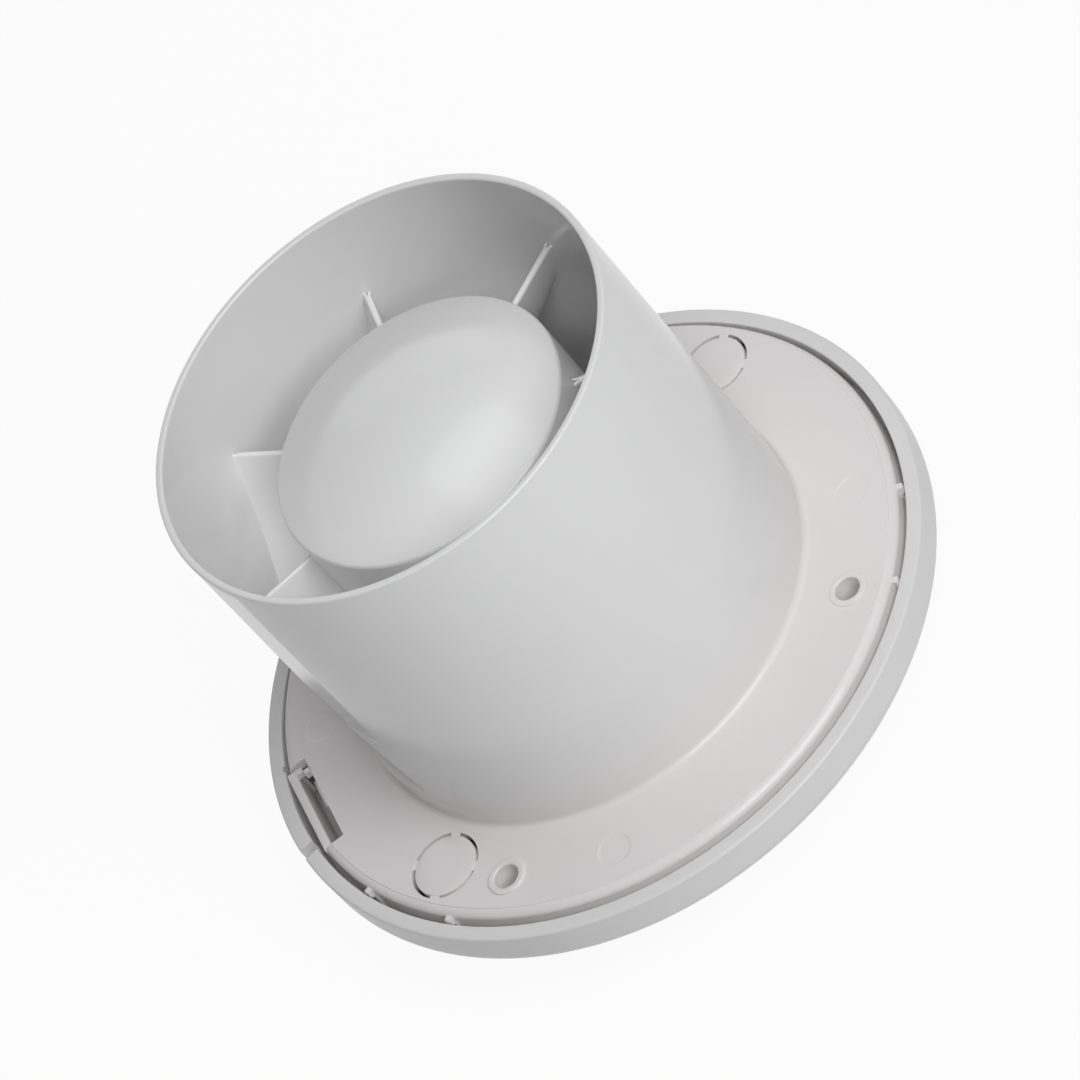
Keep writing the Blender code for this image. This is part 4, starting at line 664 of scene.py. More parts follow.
def loop_round(start, end):
    """The sector's border as one closed run of points."""
    radius, angle = sector_grid(start, end)
    r = np.concatenate([radius[0, :-1], radius[:-1, -1], radius[-1, :0:-1], radius[:0:-1, 0]])
    a = np.radians(np.concatenate([angle[0, :-1], angle[:-1, -1], angle[-1, :0:-1], angle[:0:-1, 0]]))
    return np.stack([r * np.cos(a), r * np.sin(a)], axis=-1)


def patch_round(skin, border, centre, radius, z):
    """Fills between a sector's border and a round hole, and gives the angles of its columns.

    Each ray from the hole's centre is one column, with rows closer together near the hole.
    """
    away = border - centre
    direction = away / np.linalg.norm(away, axis=1)[:, None]
    share = np.linspace(0, 1, 7)[:, None, None] ** 1.4
    points = (centre + direction * radius)[None] * (1 - share) + border[None] * share
    skin.grid(points[:, :, 0], points[:, :, 1], z, wrap=True)
    return np.degrees(np.arctan2(direction[:, 1], direction[:, 0]))


def screw_tube():
    """The raised ring, bore and tube of a wall screw's hole."""
    top, ease = PLATE_Z + SCREW_RISE, 0.2
    return chain([(SCREW_BOSS, PLATE_Z)], arc((SCREW_BOSS - 0.35, top - 0.35), 0.35, 0, 90, 4),
                 arc((SCREW_HOLE + 0.4, top - 0.4), 0.4, 90, 180, 4),
                 [(SCREW_HOLE, SCREW_LOW + ease), (SCREW_HOLE + ease, SCREW_LOW),
                  (SCREW_BOSS - ease, SCREW_LOW), (SCREW_BOSS, SCREW_LOW + ease), (SCREW_BOSS, UNDER_Z)])


def knockout_disc(skin, centre, place, angles):
    """The knock-out's wall, its disc and the four bridges that hold it."""
    inner, ease = KNOCKOUT - KNOCKOUT_SLIT, 0.15
    turned(skin, np.array([(KNOCKOUT, PLATE_Z), (KNOCKOUT, UNDER_Z)]), centre, angles)
    disc = chain([(0.0, PLATE_Z)], [(inner * 0.5, PLATE_Z)],
                 arc((inner - ease, PLATE_Z - ease), ease, 90, 0, 2),
                 [(inner, UNDER_Z), (inner * 0.5, UNDER_Z), (0.0, UNDER_Z)])
    turned(skin, disc, centre, angles)
    bridge = looped(rounded_box((inner - 0.2, UNDER_Z + 0.4), (KNOCKOUT + 0.2, PLATE_Z - 0.12), 0.1, 1))
    for quarter in range(4):
        middle = place + BRIDGE_TURN + 90.0 * quarter
        turned(skin, bridge, centre, np.linspace(middle - BRIDGE_SPAN, middle + BRIDGE_SPAN, 7), wrap=False)


def mark_disc():
    """A sink mark left by the boss on the other side: a dish that rises with the square of the radius."""
    dish = [(MARK * share, PLATE_Z - SINK - SINK_DISH * (1 - share ** 2))
            for share in np.linspace(0.0, 0.93, 8)]
    return np.array(dish + [(MARK * 0.97, PLATE_Z - SINK / 3), (MARK, PLATE_Z)])


def boss_below():
    """The blind boss on the plate's underside."""
    low, ease = UNDER_Z - BLIND_BOSS, 0.3
    return chain([(0.0, low)], arc((MARK - ease, low + ease), ease, 270, 360, 3), [(MARK, UNDER_Z)])


def plate_skin():
    """The back plate's two faces with holes, knock-outs and marks, its rounded edge and its skirt."""
    skin = Skin()
    for start, end, kind, place in SECTORS:
        if kind is None:
            radius, angle = sector_grid(start, end)
            skin.polar(radius, angle, PLATE_Z)
            skin.polar(radius, angle, UNDER_Z)
            continue
        circle, size = PLACES[kind]
        centre = spot(circle, place)
        border = loop_round(start, end)
        angles = patch_round(skin, border, centre, size, PLATE_Z)
        patch_round(skin, border, centre, size, UNDER_Z)
        if kind == "screw":
            turned(skin, screw_tube(), centre, angles)
        elif kind == "knockout":
            knockout_disc(skin, centre, place, angles)
        else:
            turned(skin, mark_disc(), centre, angles)
            turned(skin, boss_below(), centre, angles)
    over = edge_over()
    add_edge_and_skirt(skin, over)
    add_window(skin, over)
    return skin


def edge_columns(radius):
    """Angles of the plate's columns at a radius beyond the face, between the window's two sides."""
    found = []
    for start, end, _, _ in SECTORS:
        share = sector_columns(start, end)[:-1]
        first = window_turn(radius, ROOT_END) if start == WINDOW_TO else start
        last = window_turn(radius, -FREE_END) + 360.0 if end == WINDOW_FROM + 360.0 else end
        found.append(first + share * (last - first))
    return np.concatenate(found + [[window_turn(radius, -FREE_END) + 360.0]])


def edge_over():
    """The plate's edge from the fine step beside its face, over a quarter round and down the skirt."""
    lip = 0.1
    rounding = PLATE_EDGE - PLATE_FACE - lip
    return chain([(PLATE_FACE, PLATE_Z)],
                 arc((PLATE_FACE + lip, PLATE_Z - EDGE_STEP - rounding), rounding, 90, 0, 7),
                 [(PLATE_EDGE, SKIRT_Z + SKIRT_ROUND)])


def add_edge_and_skirt(skin, over):
    """The edge on the plate's own columns, round the skirt's end and up its inner side."""
    outline = chain(over, [(PLATE_EDGE - SKIRT_ROUND, SKIRT_Z), (PLATE_FACE + SKIRT_ROUND, SKIRT_Z),
                           (PLATE_FACE, SKIRT_Z + SKIRT_ROUND), (PLATE_FACE, UNDER_Z)])
    skin.polar(outline[:, :1], np.stack([edge_columns(r) for r, _ in outline]), outline[:, 1:])


def add_window(skin, over):
    """The strip of plate inside the latch window, its walls, a tongue and the web that stops the latch.

    On a side, the distance out is the root of the radius squared less the side's place squared.
    """
    columns = COLUMNS[(COLUMNS > WINDOW_FROM - 1e-4) & (COLUMNS < WINDOW_TO + 1e-4)]
    place = INNER * np.sin(np.radians(columns - LATCH_ANGLE))[None, :]
    q_in = INNER * np.cos(np.radians(columns - LATCH_ANGLE))[None, :]
    share = np.linspace(0, 1, 8)[:, None]
    for z in (PLATE_Z, UNDER_Z):
        skin.chordal(LATCH_ANGLE, q_in * (1 - share) + WINDOW_Q * share, place, z)
    wall = np.array([(WINDOW_Q, PLATE_Z), (WINDOW_Q, LATCH_LOW), (SHELF_Q, LATCH_LOW), (SHELF_Q, UNDER_Z),
                     (WINDOW_Q, UNDER_Z)])
    skin.chordal(LATCH_ANGLE, wall[:, :1], place, wall[:, 1:])
    down = over[1:]
    for side in (ROOT_END, -FREE_END):
        q_top = np.sqrt(side_radii(side)[7:] ** 2 - side ** 2)
        q_edge = np.sqrt(down[:, 0] ** 2 - side ** 2)
        q_face = np.full(len(down), math.sqrt(PLATE_FACE ** 2 - side ** 2))
        top_z = np.concatenate([np.full(len(q_top), PLATE_Z), down[:, 1]])
        low_z = np.append(np.full(len(top_z) - 1, UNDER_Z), down[-1, 1])
        q = np.stack([np.concatenate([q_top, q_edge]), np.concatenate([q_top, q_face])])
        skin.chordal(LATCH_ANGLE, q, side, np.stack([top_z, low_z]))
    tongue = rounded_box((WINDOW_Q - 0.3, PLATE_Z - 1.6), (STOPS_Q, PLATE_Z), 0.15, 2)
    swept(skin, tongue, LATCH_ANGLE, *TONGUE_SIDES)
    web = rounded_box((SHELF_Q + 0.4, WEB_LOW), (STOPS_Q, WEB_HIGH), 0.2, 2)
    swept(skin, web, LATCH_ANGLE, -FREE_END + 3.0, -2.4)


def pod_skin():
    """The motor's can: a shallow spherical end with a rounded edge, straight sides and an open end.

    The sphere's radius is the can's squared plus the crown's squared, over twice the crown.
    """
    sphere = (POD ** 2 + POD_CROWN ** 2) / (2 * POD_CROWN)
    centre = POD_EDGE + POD_CROWN - sphere
    tilt = math.asin((POD - POD_ROUND) / (sphere - POD_ROUND))
    dome = arc((0.0, centre), sphere, 90, 90 - math.degrees(tilt), 36)
    corner_z = centre + (sphere - POD_ROUND) * math.cos(tilt)
    corner = arc((POD - POD_ROUND, corner_z), POD_ROUND, 90 - math.degrees(tilt), 0, 8)
    inner, ease = POD - POD_WALL, 0.4
    sides = [(POD, 80.0), (POD, POD_OPEN + ease), (POD - ease, POD_OPEN), (inner + ease, POD_OPEN),
             (inner, POD_OPEN + ease)]
    tilt_in = math.asin(inner / (sphere - POD_WALL))
    back = arc((0.0, centre), sphere - POD_WALL, 90 - math.degrees(tilt_in), 90, 16)
    skin = Skin()
    turned(skin, chain(dome, corner, sides, back))
    return skin


def vane_offset(depth):
    """Sideways travel at the bore: lean times depth, plus a curl that grows with the depth's fourth power."""
    return VANE_LEAN * depth + VANE_CURL * VANE_HEIGHT * (depth / VANE_HEIGHT) ** 4


def vane_skin(angle):
    """A guide vane: radial lines that swing round as they go down, with rounded edges and spread roots.

    Each side stands off the middle surface by half the thickness, square to its slope.
    """
    skin = Skin()
    depth = np.concatenate([[0, 0, 0.15], np.linspace(0.4, VANE_HEIGHT - 0.4, 40),
                            [VANE_HEIGHT - 0.15, VANE_HEIGHT, VANE_HEIGHT]])
    wide = np.concatenate([[0, 0.55, 0.88], np.ones(40), [0.88, 0.55, 0]]) * VANE_HALF
    span = np.concatenate([[0.0, 0.02, 0.05], np.linspace(0.1, 0.9, 9), [0.95, 0.98, 1.0]])
    root = np.concatenate([[1.0, 0.45, 0.12], np.zeros(9), [0.12, 0.45, 1.0]])
    radius = (POD - 0.5 + (BORE - POD + 1.0) * span)[None, :]
    slope = (vane_offset(depth + HAIR) - vane_offset(depth - HAIR)) / (2 * HAIR)
    lean = np.arctan(slope[:, None] * radius / BORE)
    for side in (-1, 1):
        across = side * (wide[:, None] + VANE_FILLET * root[None, :])
        turn = np.degrees(vane_offset(depth)[:, None] / BORE + across * np.cos(lean) / radius)
        skin.polar(radius, angle + turn, VANE_TOP - depth[:, None] + across * np.sin(lean))
    return skin


def lead_bridge_skin():
    """The spoke that takes the motor leads across the air way: a channel's section carried outwards."""
    half, channel, low, top, floor, ease = 2.9, 2.1, 52.2, 55.8, 54.8, 0.4
    shape = looped(np.array([
        (-half, low), (-half, top - ease), (ease - half, top), (half - ease, top), (half, top - ease),
        (half, low), (channel, low), (channel, floor), (-channel, floor), (-channel, low)]))
    skin = Skin()
    q = np.linspace(POD - 1.0, SHROUD + 0.8, 6)[:, None]
    skin.chordal(LEAD_ANGLE, q, shape[None, :, 0], shape[None, :, 1])
    return skin


def guide_ribs_skin():
    """Three pairs of ribs on the skirt: a stepped section with a nub, carried across the rib's width."""
    skin = Skin()
    section = np.array([(69.2, 19.2), (70.4, 19.2), (70.5, 24.9), (71.1, 25.5), (71.1, 26.6), (70.9, 26.8),
                        (69.4, 26.8), (69.2, 26.6)])
    for middle in RIB_PAIRS:
        for side in (-RIB_SPREAD, RIB_SPREAD):
            swept(skin, section, middle + side, -RIB_HALF, RIB_HALF)
    return skin


def motor_bosses_skin():
    """Three bosses inside the pod, each a turned pillar with a blind bore for its screw."""
    skin = Skin()
    outer, bore, low, ease = 2.9, 1.8, 64.7, 0.4
    pillar = chain([(outer, 94.0), (outer, low + ease), (outer - ease, low), (bore + 0.1, low),
                    (bore, low + 0.3), (bore, 73.0), (0.0, 73.8)])
    for angle in BOSS_ANGLES:
        turned(skin, pillar, spot(BOSS_CIRCLE, angle))
    return skin


def build_housing(looks):
    """The moulding of wall, plate, ribs, duct, pod, spoke, bosses and vanes, all of one plastic."""
    shell = plastic("housing plastic", looks.shell_color, looks.shell_roughness, mottle=0.015)
    # Below the plate's height the housing colour turns warmer and slightly darker, blended in by height
    toned_by_height(shell, looks.plate_color, PLATE_Z + 1, PLATE_Z + 18)
    pieces = [("spigot_wall", wall_skin(), "housing"), ("back_plate", plate_skin(), "housing"),
              ("guide_ribs", guide_ribs_skin(), "housing"), ("duct_wall", duct_skin(), "inner_duct"),
              ("pod_can", pod_skin(), "motor_pod"), ("lead_spoke", lead_bridge_skin(), "motor_pod"),
              ("motor_bosses", motor_bosses_skin(), "motor_pod")]
    for name, skin, node in pieces:
        skin.build(name, shell, HOUSING_BODY, node, "shell")
    vanes = Skin()
    for index in range(VANE_COUNT):
        vanes.add(vane_skin(VANE_FIRST + 360.0 * index / VANE_COUNT))
    vanes.build("guide_vanes", shell, HOUSING_BODY, "motor_pod", "shell", sharp=50)


def build_latch():
    """The sprung bar on the plate's edge, its finger tab and its nose, each a rounded box swept along."""
    skin = Skin()
    bar = rounded_box((BAR_IN, LATCH_LOW), (BAR_OUT, LATCH_HIGH), 0.3)
    swept(skin, bar, LATCH_ANGLE, -FREE_END + 0.9, ROOT_END - 0.3, 8)
    tab = rounded_box((TAB_Q, LATCH_HIGH - 1.4), (BAR_IN + 0.5, LATCH_HIGH), 0.25)
    swept(skin, tab, LATCH_ANGLE, -FREE_END + 0.9, -FREE_END + 2.4)
    nose = rounded_box((BAR_OUT - 0.3, LATCH_LOW + 0.6), (BAR_OUT + 0.7, LATCH_LOW + 2.0), 0.3)
    swept(skin, nose, LATCH_ANGLE, -NOSE_LENGTH, 0.0)
    skin.build("latch_bar", bpy.data.materials["housing plastic"], LATCH_BODY, "release_latch", "latch")


# Cover, guard and panel


def cover_outline():
    """The cover's section from the rim's inner edge over the side, the cone and the inlet lip, and back."""
    rim = chain(arc((COVER_BORE + 0.4, COVER_BACK - 0.4), 0.4, 180, 90, 4),
                arc((COVER - 0.5, COVER_BACK - 0.5), 0.5, 90, 0, 5))
    side = line((COVER, COVER_BACK - 1.0), (COVER, SIDE_Z), 8)
    shoulder = arc((COVER - SHOULDER, SIDE_Z), SHOULDER, 0, COVER_SLOPE - 90, 14)
    cone = line(shoulder[-1], (59.5, COVER_FRONT + 0.45), 8)[1:]
    blend = [(58.6, COVER_FRONT + 0.18), (57.6, COVER_FRONT + 0.04), (56.5, COVER_FRONT)]
    lip = arc((INLET + INLET_ROUND, COVER_FRONT + INLET_ROUND), INLET_ROUND, 270, 180, 10)
    seat_z, collar, ease = 14.0, 50.0, 0.2
    seat = [(INLET, seat_z), (GUARD_SEAT, seat_z), (GUARD_SEAT, GUARD_HIGH - ease),
            (GUARD_SEAT + ease, GUARD_HIGH), (collar - ease, GUARD_HIGH), (collar, GUARD_HIGH - ease),
            (collar, INSIDE_Z + 0.3), (collar + 0.3, INSIDE_Z)]
    corner = COVER_BORE - 0.6
    rise = (corner - CONE_START) * math.tan(math.radians(COVER_SLOPE))
    inside = [(CONE_START, INSIDE_Z), (corner, INSIDE_Z + rise), (COVER_BORE, INSIDE_Z + rise + 0.6),
              (COVER_BORE, 24.0)]
    return chain(rim, side, shoulder, cone, blend, lip, seat, inside)


def between(angle, sides, depth):
    """A depth that sets in between the first two of four angles and ends between the last two."""
    return np.interp(angle, [0, *sides, 360], [0, 0, depth, depth, 0, 0])


def build_cover(looks):
    """The cover's section turned, its rim lowered in the notch and its inner edge set back in the nick."""
    skin = Skin()
    outline = looped(cover_outline())
    angle = np.unique(np.concatenate([np.arange(0, 360, 1.5), NOTCH_SIDES, NICK_SIDES]))[None, :]
    r, z = outline[:, :1], outline[:, 1:]
    inner_edge = (r < COVER_BORE + 0.3) & (z > NICK_LOW)
    fade_from, fade_over = NOTCH_FADE
    low = np.clip((z - fade_from) / fade_over, 0, 1)
    skin.polar(r + between(angle, NICK_SIDES, NICK_DEPTH) * inner_edge, angle,
               z - between(angle, NOTCH_SIDES, NOTCH_DEPTH) * low, wrap=True)
    finish = plastic("cover plastic", looks.cover_color, looks.cover_roughness, mottle=0.015)
    skin.build("cover_shell", finish, COVER_BODY, "front_cover", "cover")


def build_guard(looks):
    """The inlet guard: three turned rings of rounded section and twelve spokes carried outwards."""
    skin = Skin()
    for outer, inner in GUARD_RINGS:
        turned(skin, looped(rounded_box((inner, GUARD_LOW), (outer, GUARD_HIGH), 0.5)))
    spoke = looped(rounded_box((-SPOKE_HALF, GUARD_LOW + 0.1), (SPOKE_HALF, GUARD_HIGH - 0.1), 0.5))
    q = np.linspace(*SPOKE_REACH, 5)[:, None]
    for index in range(SPOKE_COUNT):
        angle = SPOKE_FIRST + 360.0 * index / SPOKE_COUNT
        skin.chordal(angle, q, spoke[None, :, 0], spoke[None, :, 1])
    finish = plastic("guard plastic", looks.guard_color, 0.5, mottle=0.03)
    skin.build("guard_rings", finish, COVER_BODY, "inlet_guard", "guard")


def build_panel(looks):
    """The front panel with its soft edge and hollow back, and its three plug-in posts, all turned."""
    skin = Skin()
    flat_end = PANEL - PANEL_EDGE
    face = chain([(0.0, 0.0)], line((4.0, 0.0), (flat_end, 0.0), 10),
                 arc((flat_end, PANEL_EDGE), PANEL_EDGE, 270, 360, 12),
                 [(PANEL, PANEL_BACK - 0.2), (PANEL - 0.2, PANEL_BACK), (PANEL - 1.8, PANEL_BACK),
                  (PANEL - 2.1, PANEL_BACK - 0.3), (PANEL - 2.4, PANEL_FLOOR + 0.1),
                  (PANEL - 2.7, PANEL_FLOOR), (0.0, PANEL_FLOOR)])
    turned(skin, face)
    post = chain([(POST, PANEL_FLOOR - 0.2), (POST, POST_SHOULDER - 0.3), (POST - 0.3, POST_SHOULDER),
                  (POST_PLUG, POST_SHOULDER), (POST_PLUG, POST_END - 0.8), (POST_PLUG - 0.5, POST_END),
                  (0.0, POST_END)])
    for angle in POST_ANGLES:
        turned(skin, post, spot(POST_CIRCLE, angle))
    finish = plastic("panel plastic", looks.cover_color, looks.panel_roughness, mottle=0.01)
    skin.build("panel_face", finish, PANEL_BODY, "front_panel", "panel")


# Impeller


def blade_middle(chord, span):
    """Middle surface of a blade. Both run from 0 to 1: leading to trailing edge, hub to tip.

    Height and wrap change evenly from hub to tip, the sweep grows with the span squared, and the camber is
    half a sine wave over the chord.
    """
    radius = BLADE_ROOT + (BLADE_TIP - BLADE_ROOT) * span
    height = BLADE_HEIGHT - BLADE_CHANGE * span
    wrap = BLADE_WRAP + BLADE_CHANGE * span
    angle = np.radians(wrap * (chord - 0.5) - BLADE_SWEEP * span ** 2)
    z = BLADE_Z + height * (chord - 0.5 - BLADE_CAMBER * np.sin(np.pi * chord))
    return np.stack([radius * np.cos(angle), radius * np.sin(angle), z], axis=-1)


def blade_skin():
    """A blade: its middle surface moved both ways, square to the radius, by half the thickness.

    The thickness falls off towards both edges as the root of one less the fourth power of the place across
    the chord, and it tapers evenly from hub to tip.
    """
    span = np.linspace(0, 1, 13)[:, None]
    chord = (0.5 - 0.5 * np.cos(np.linspace(0, np.pi, 25)))[None, :] + 0 * span
    span = span + 0 * chord
    here = blade_middle(chord, span)
    along = blade_middle(chord + HAIR, span) - blade_middle(chord - HAIR, span)
    across = blade_middle(chord, span + HAIR) - blade_middle(chord, span - HAIR)
    normal = np.cross(along, across)
    radial = here * np.array([1.0, 1.0, 0.0])
    radial /= np.linalg.norm(radial, axis=-1, keepdims=True)
    normal -= radial * np.sum(normal * radial, axis=-1, keepdims=True)
    normal /= np.linalg.norm(normal, axis=-1, keepdims=True)
    full = np.sqrt(np.clip(1 - (2 * chord - 1) ** 4, 0, 1))
    half = ((BLADE_THICK - BLADE_THINNING * span) / 2 * full)[:, :, None]
    back, front = here - normal * half, here + normal * half
    skin = Skin()
    for side in (back, front, np.stack([back[-1], front[-1]])):
        skin.grid(side[:, :, 0], side[:, :, 1], side[:, :, 2])
    return skin


def build_impeller(looks):
    """The impeller: a turned cup with a boss for the shaft, and nine blades round it."""
    skin = Skin()
    inner, ease = HUB - HUB_WALL, 0.2
    round_centre = (HUB - HUB_ROUND, HUB_FRONT + HUB_ROUND)
    nose = arc(round_centre, HUB_ROUND, 270, 360, 14)
    cup = arc(round_centre, HUB_ROUND - HUB_WALL, 360, 270, 10)
    floor = HUB_FRONT + HUB_WALL
    hub = chain([(SHAFT_HOLE, HUB_FRONT + ease), (SHAFT_HOLE + ease, HUB_FRONT), (12.0, HUB_FRONT)], nose,
                [(HUB, HUB_REAR - ease), (HUB - ease, HUB_REAR), (inner + ease, HUB_REAR),
                 (inner, HUB_REAR - ease)], cup,
                [(SHAFT_BOSS + 1.0, floor), (SHAFT_BOSS, floor + 1.0), (SHAFT_BOSS, SHAFT_BOSS_END - ease),
                 (SHAFT_BOSS - ease, SHAFT_BOSS_END), (SHAFT_HOLE, SHAFT_BOSS_END)])
    turned(skin, looped(hub))
    for index in range(BLADE_COUNT):
        skin.add(blade_skin(), turn=360.0 * index / BLADE_COUNT)
    finish = plastic("impeller plastic", looks.impeller_color, 0.45, mottle=0.03)
    skin.build("impeller_wheel", finish, IMPELLER_BODY, "impeller", "impeller")


# Finishes of the pieces that keep their solids


def dress_nodes():
    """Gives each solid of the motor, the wiring and the fixings the finish of its own material."""
    steel = metal("zinc-plated steel", (0.56, 0.57, 0.60), 0.32)
    iron = metal("stacked sheet steel", (0.30, 0.30, 0.32), 0.5, metallic=0.9)
    copper = metal("winding wire", (0.62, 0.24, 0.10), 0.35, grain=2600.0, bump=0.3)
    bronze = metal("sintered bronze", (0.55, 0.37, 0.18), 0.5, grain=3000.0, bump=0.3)
    cast = metal("die-cast zinc", (0.60, 0.61, 0.63), 0.5)
    felt = plastic("oiled felt", (0.74, 0.70, 0.60), 0.95, 0.2, 4000.0, 0.8)
    fibre = plastic("hard fibre", (0.20, 0.09, 0.06), 0.7, 0.1, 2400.0, 0.3)
    rubber = plastic("rubber bush", (0.03, 0.03, 0.032), 0.7, 0.1, 1500.0, 0.2)
    nylon = plastic("natural nylon", (0.74, 0.72, 0.66), 0.45, 0.04)
    brown = plastic("brown insulation", (0.15, 0.055, 0.03), 0.45, 0.05)
    blue = plastic("blue insulation", (0.03, 0.11, 0.40), 0.45, 0.05)
    table = {
        steel: ["impeller_washer", "impeller_nut", "shaft_collar", "motor_shaft", "front_bush_clip",
                "rear_bush_clip", "through_bolt_1", "through_bolt_2", "through_nut_1", "through_nut_2",
                "motor_screw_1", "motor_screw_2", "motor_screw_3", "block_screw_1", "block_screw_2",
                "clamp_screw_1", "clamp_screw_2"],
        iron: ["rotor", "stator_core"],
        copper: ["coil_1", "coil_2", "coil_3", "coil_4"],
        bronze: ["front_bush", "rear_bush", "terminal_screw_1", "terminal_screw_2", "terminal_screw_3"],
        cast: ["front_bracket", "rear_bracket"],
        felt: ["front_oil_felt", "rear_oil_felt"],
        fibre: ["front_thrust_washer", "rear_thrust_washer"],
        rubber: ["mount_rubber_1", "mount_rubber_2", "mount_rubber_3"],
        nylon: ["terminal_block", "cable_clamp"],
        brown: ["motor_lead_live"],
        blue: ["motor_lead_neutral"],
    }
    for finish, names in table.items():
        for name in names:
            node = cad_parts[name]
            node.data.materials.clear()
            node.data.materials.append(finish)


# Stage

# Camera axes and place in the part's frame, from a fit to the outlines in the photograph
VIEW_RIGHT = Vector((0.76326, -0.42200, -0.48925))
VIEW_DOWN = Vector((-0.64508, -0.54024, -0.54039))
VIEW_FORWARD = Vector((-0.03627, 0.72806, -0.68456))
CAMERA_PLACE = Vector((46.2, -861.0, 859.7)) * MM
LENS = 200.0
SENSOR = 36.0

# Softboxes: the way to each from the part's middle, with its side and its distance in metres
LIT_POINT = Vector((0.0, 0.0, 50.0)) * MM
LIGHT_DISTANCE = 1.1
KEY_WAY = VIEW_RIGHT * 0.11 - VIEW_DOWN * 0.20 - VIEW_FORWARD * 0.973
KEY_SIZE = 0.8
OVER_WAY = VIEW_RIGHT * -0.36 - VIEW_DOWN * 0.68 - VIEW_FORWARD * 0.64
OVER_SIZE = 0.7
BACK_WAY = Vector((0.10, 0.94, 0.32))
BACK_SIZE = 0.8
FLOOR_HALF = 3.0              # metres
FLOOR_DROP = 0.5 * MM


def build_camera():
    """The camera at its fitted place: its matrix has the view's right, up and backward axes as columns."""
    data = bpy.data.cameras.new("photo_camera")
    data.lens = LENS
    data.sensor_width = SENSOR
    data.clip_end = 20.0
    camera = bpy.data.objects.new("photo_camera", data)
    turn = Matrix((VIEW_RIGHT, -VIEW_DOWN, -VIEW_FORWARD)).transposed()
    camera.matrix_world = Matrix.Translation(CAMERA_PLACE) @ turn.to_4x4()
    bpy.context.scene.collection.objects.link(camera)
    bpy.context.scene.camera = camera


def white_rays(tree):
    """One for the rays that should meet a white studio: those seen directly, in gloss or through glass."""
    rays = add_node(tree, "ShaderNodeLightPath")
    gloss = add_node(tree, "ShaderNodeMath", operation="MAXIMUM")
    link(tree, rays, "Is Camera Ray", gloss, 0)
    link(tree, rays, "Is Glossy Ray", gloss, 1)
    glass = add_node(tree, "ShaderNodeMath", operation="MAXIMUM")
    link(tree, gloss, "Value", glass, 0)
    link(tree, rays, "Is Transmission Ray", glass, 1)
    return glass


def backdrop_shader(material, color, glow):
    """Plain paint that shows as white to the camera and in reflections, with part of its shadow kept."""
    tree = material.node_tree
    shader = tree.nodes["Principled BSDF"]
    shader.inputs["Base Color"].default_value = (*color, 1.0)
    shader.inputs["Roughness"].default_value = 0.9
    light = add_node(tree, "ShaderNodeEmission", {"Strength": 1.0})
    share = add_node(tree, "ShaderNodeMath", {1: glow}, "MULTIPLY")
    link(tree, white_rays(tree), "Value", share, 0)
    mix = add_node(tree, "ShaderNodeMixShader")
    link(tree, share, "Value", mix, "Fac")
    link(tree, shader, "BSDF", mix, 1)
    link(tree, light, "Emission", mix, 2)
    link(tree, mix, "Shader", tree.nodes["Material Output"], "Surface")


def build_floor(stage):
    """A level square of painted floor just under the front panel."""
    mesh = bpy.data.meshes.new("floor")
    half = FLOOR_HALF
    corners = [(-half, -half, 0), (half, -half, 0), (half, half, 0), (-half, half, 0)]
    mesh.from_pydata(corners, [], [(0, 1, 2, 3)])
    floor = bpy.data.objects.new("floor", mesh)
    floor.location.z = -FLOOR_DROP
    bpy.context.scene.collection.objects.link(floor)
    paint = bpy.data.materials.new("floor paint")
    paint.use_nodes = True
    backdrop_shader(paint, stage.floor_color, stage.floor_glow)
    mesh.materials.append(paint)


def build_world(stage):
    """White surroundings: full strength where they should look white, and a faint fill light elsewhere."""
    world = bpy.data.worlds.new("studio")
    bpy.context.scene.world = world
    world.use_nodes = True
    tree = world.node_tree
    back = tree.nodes["Background"]
    back.inputs["Color"].default_value = (1.0, 1.0, 1.0, 1.0)
    level = add_node(tree, "ShaderNodeMapRange", {"To Min": stage.world_light, "To Max": 1.0})
    link(tree, white_rays(tree), "Value", level, "Value")
    link(tree, level, "Result", back, "Strength")


def area_light(name, way, size, power, color):
    """A square softbox, a way and a distance off the lit point and facing it."""
    data = bpy.data.lights.new(name, "AREA")
    data.shape = "SQUARE"
    data.size = size
    data.energy = power
    data.color = color
    lamp = bpy.data.objects.new(name, data)
    place = LIT_POINT + way * LIGHT_DISTANCE
    lamp.location = place
    lamp.rotation_euler = (LIT_POINT - place).to_track_quat("-Z", "Y").to_euler()
    bpy.context.scene.collection.objects.link(lamp)


def build_lights(stage):
    """A large softbox just above the camera, a weaker one over the spigot's mouth and one low behind."""
    area_light("key", KEY_WAY, KEY_SIZE, stage.key_power, stage.light_color)
    area_light("over", OVER_WAY, OVER_SIZE, stage.over_power, stage.light_color)
    area_light("back", BACK_WAY, BACK_SIZE, stage.back_power, stage.light_color)


# Add-on


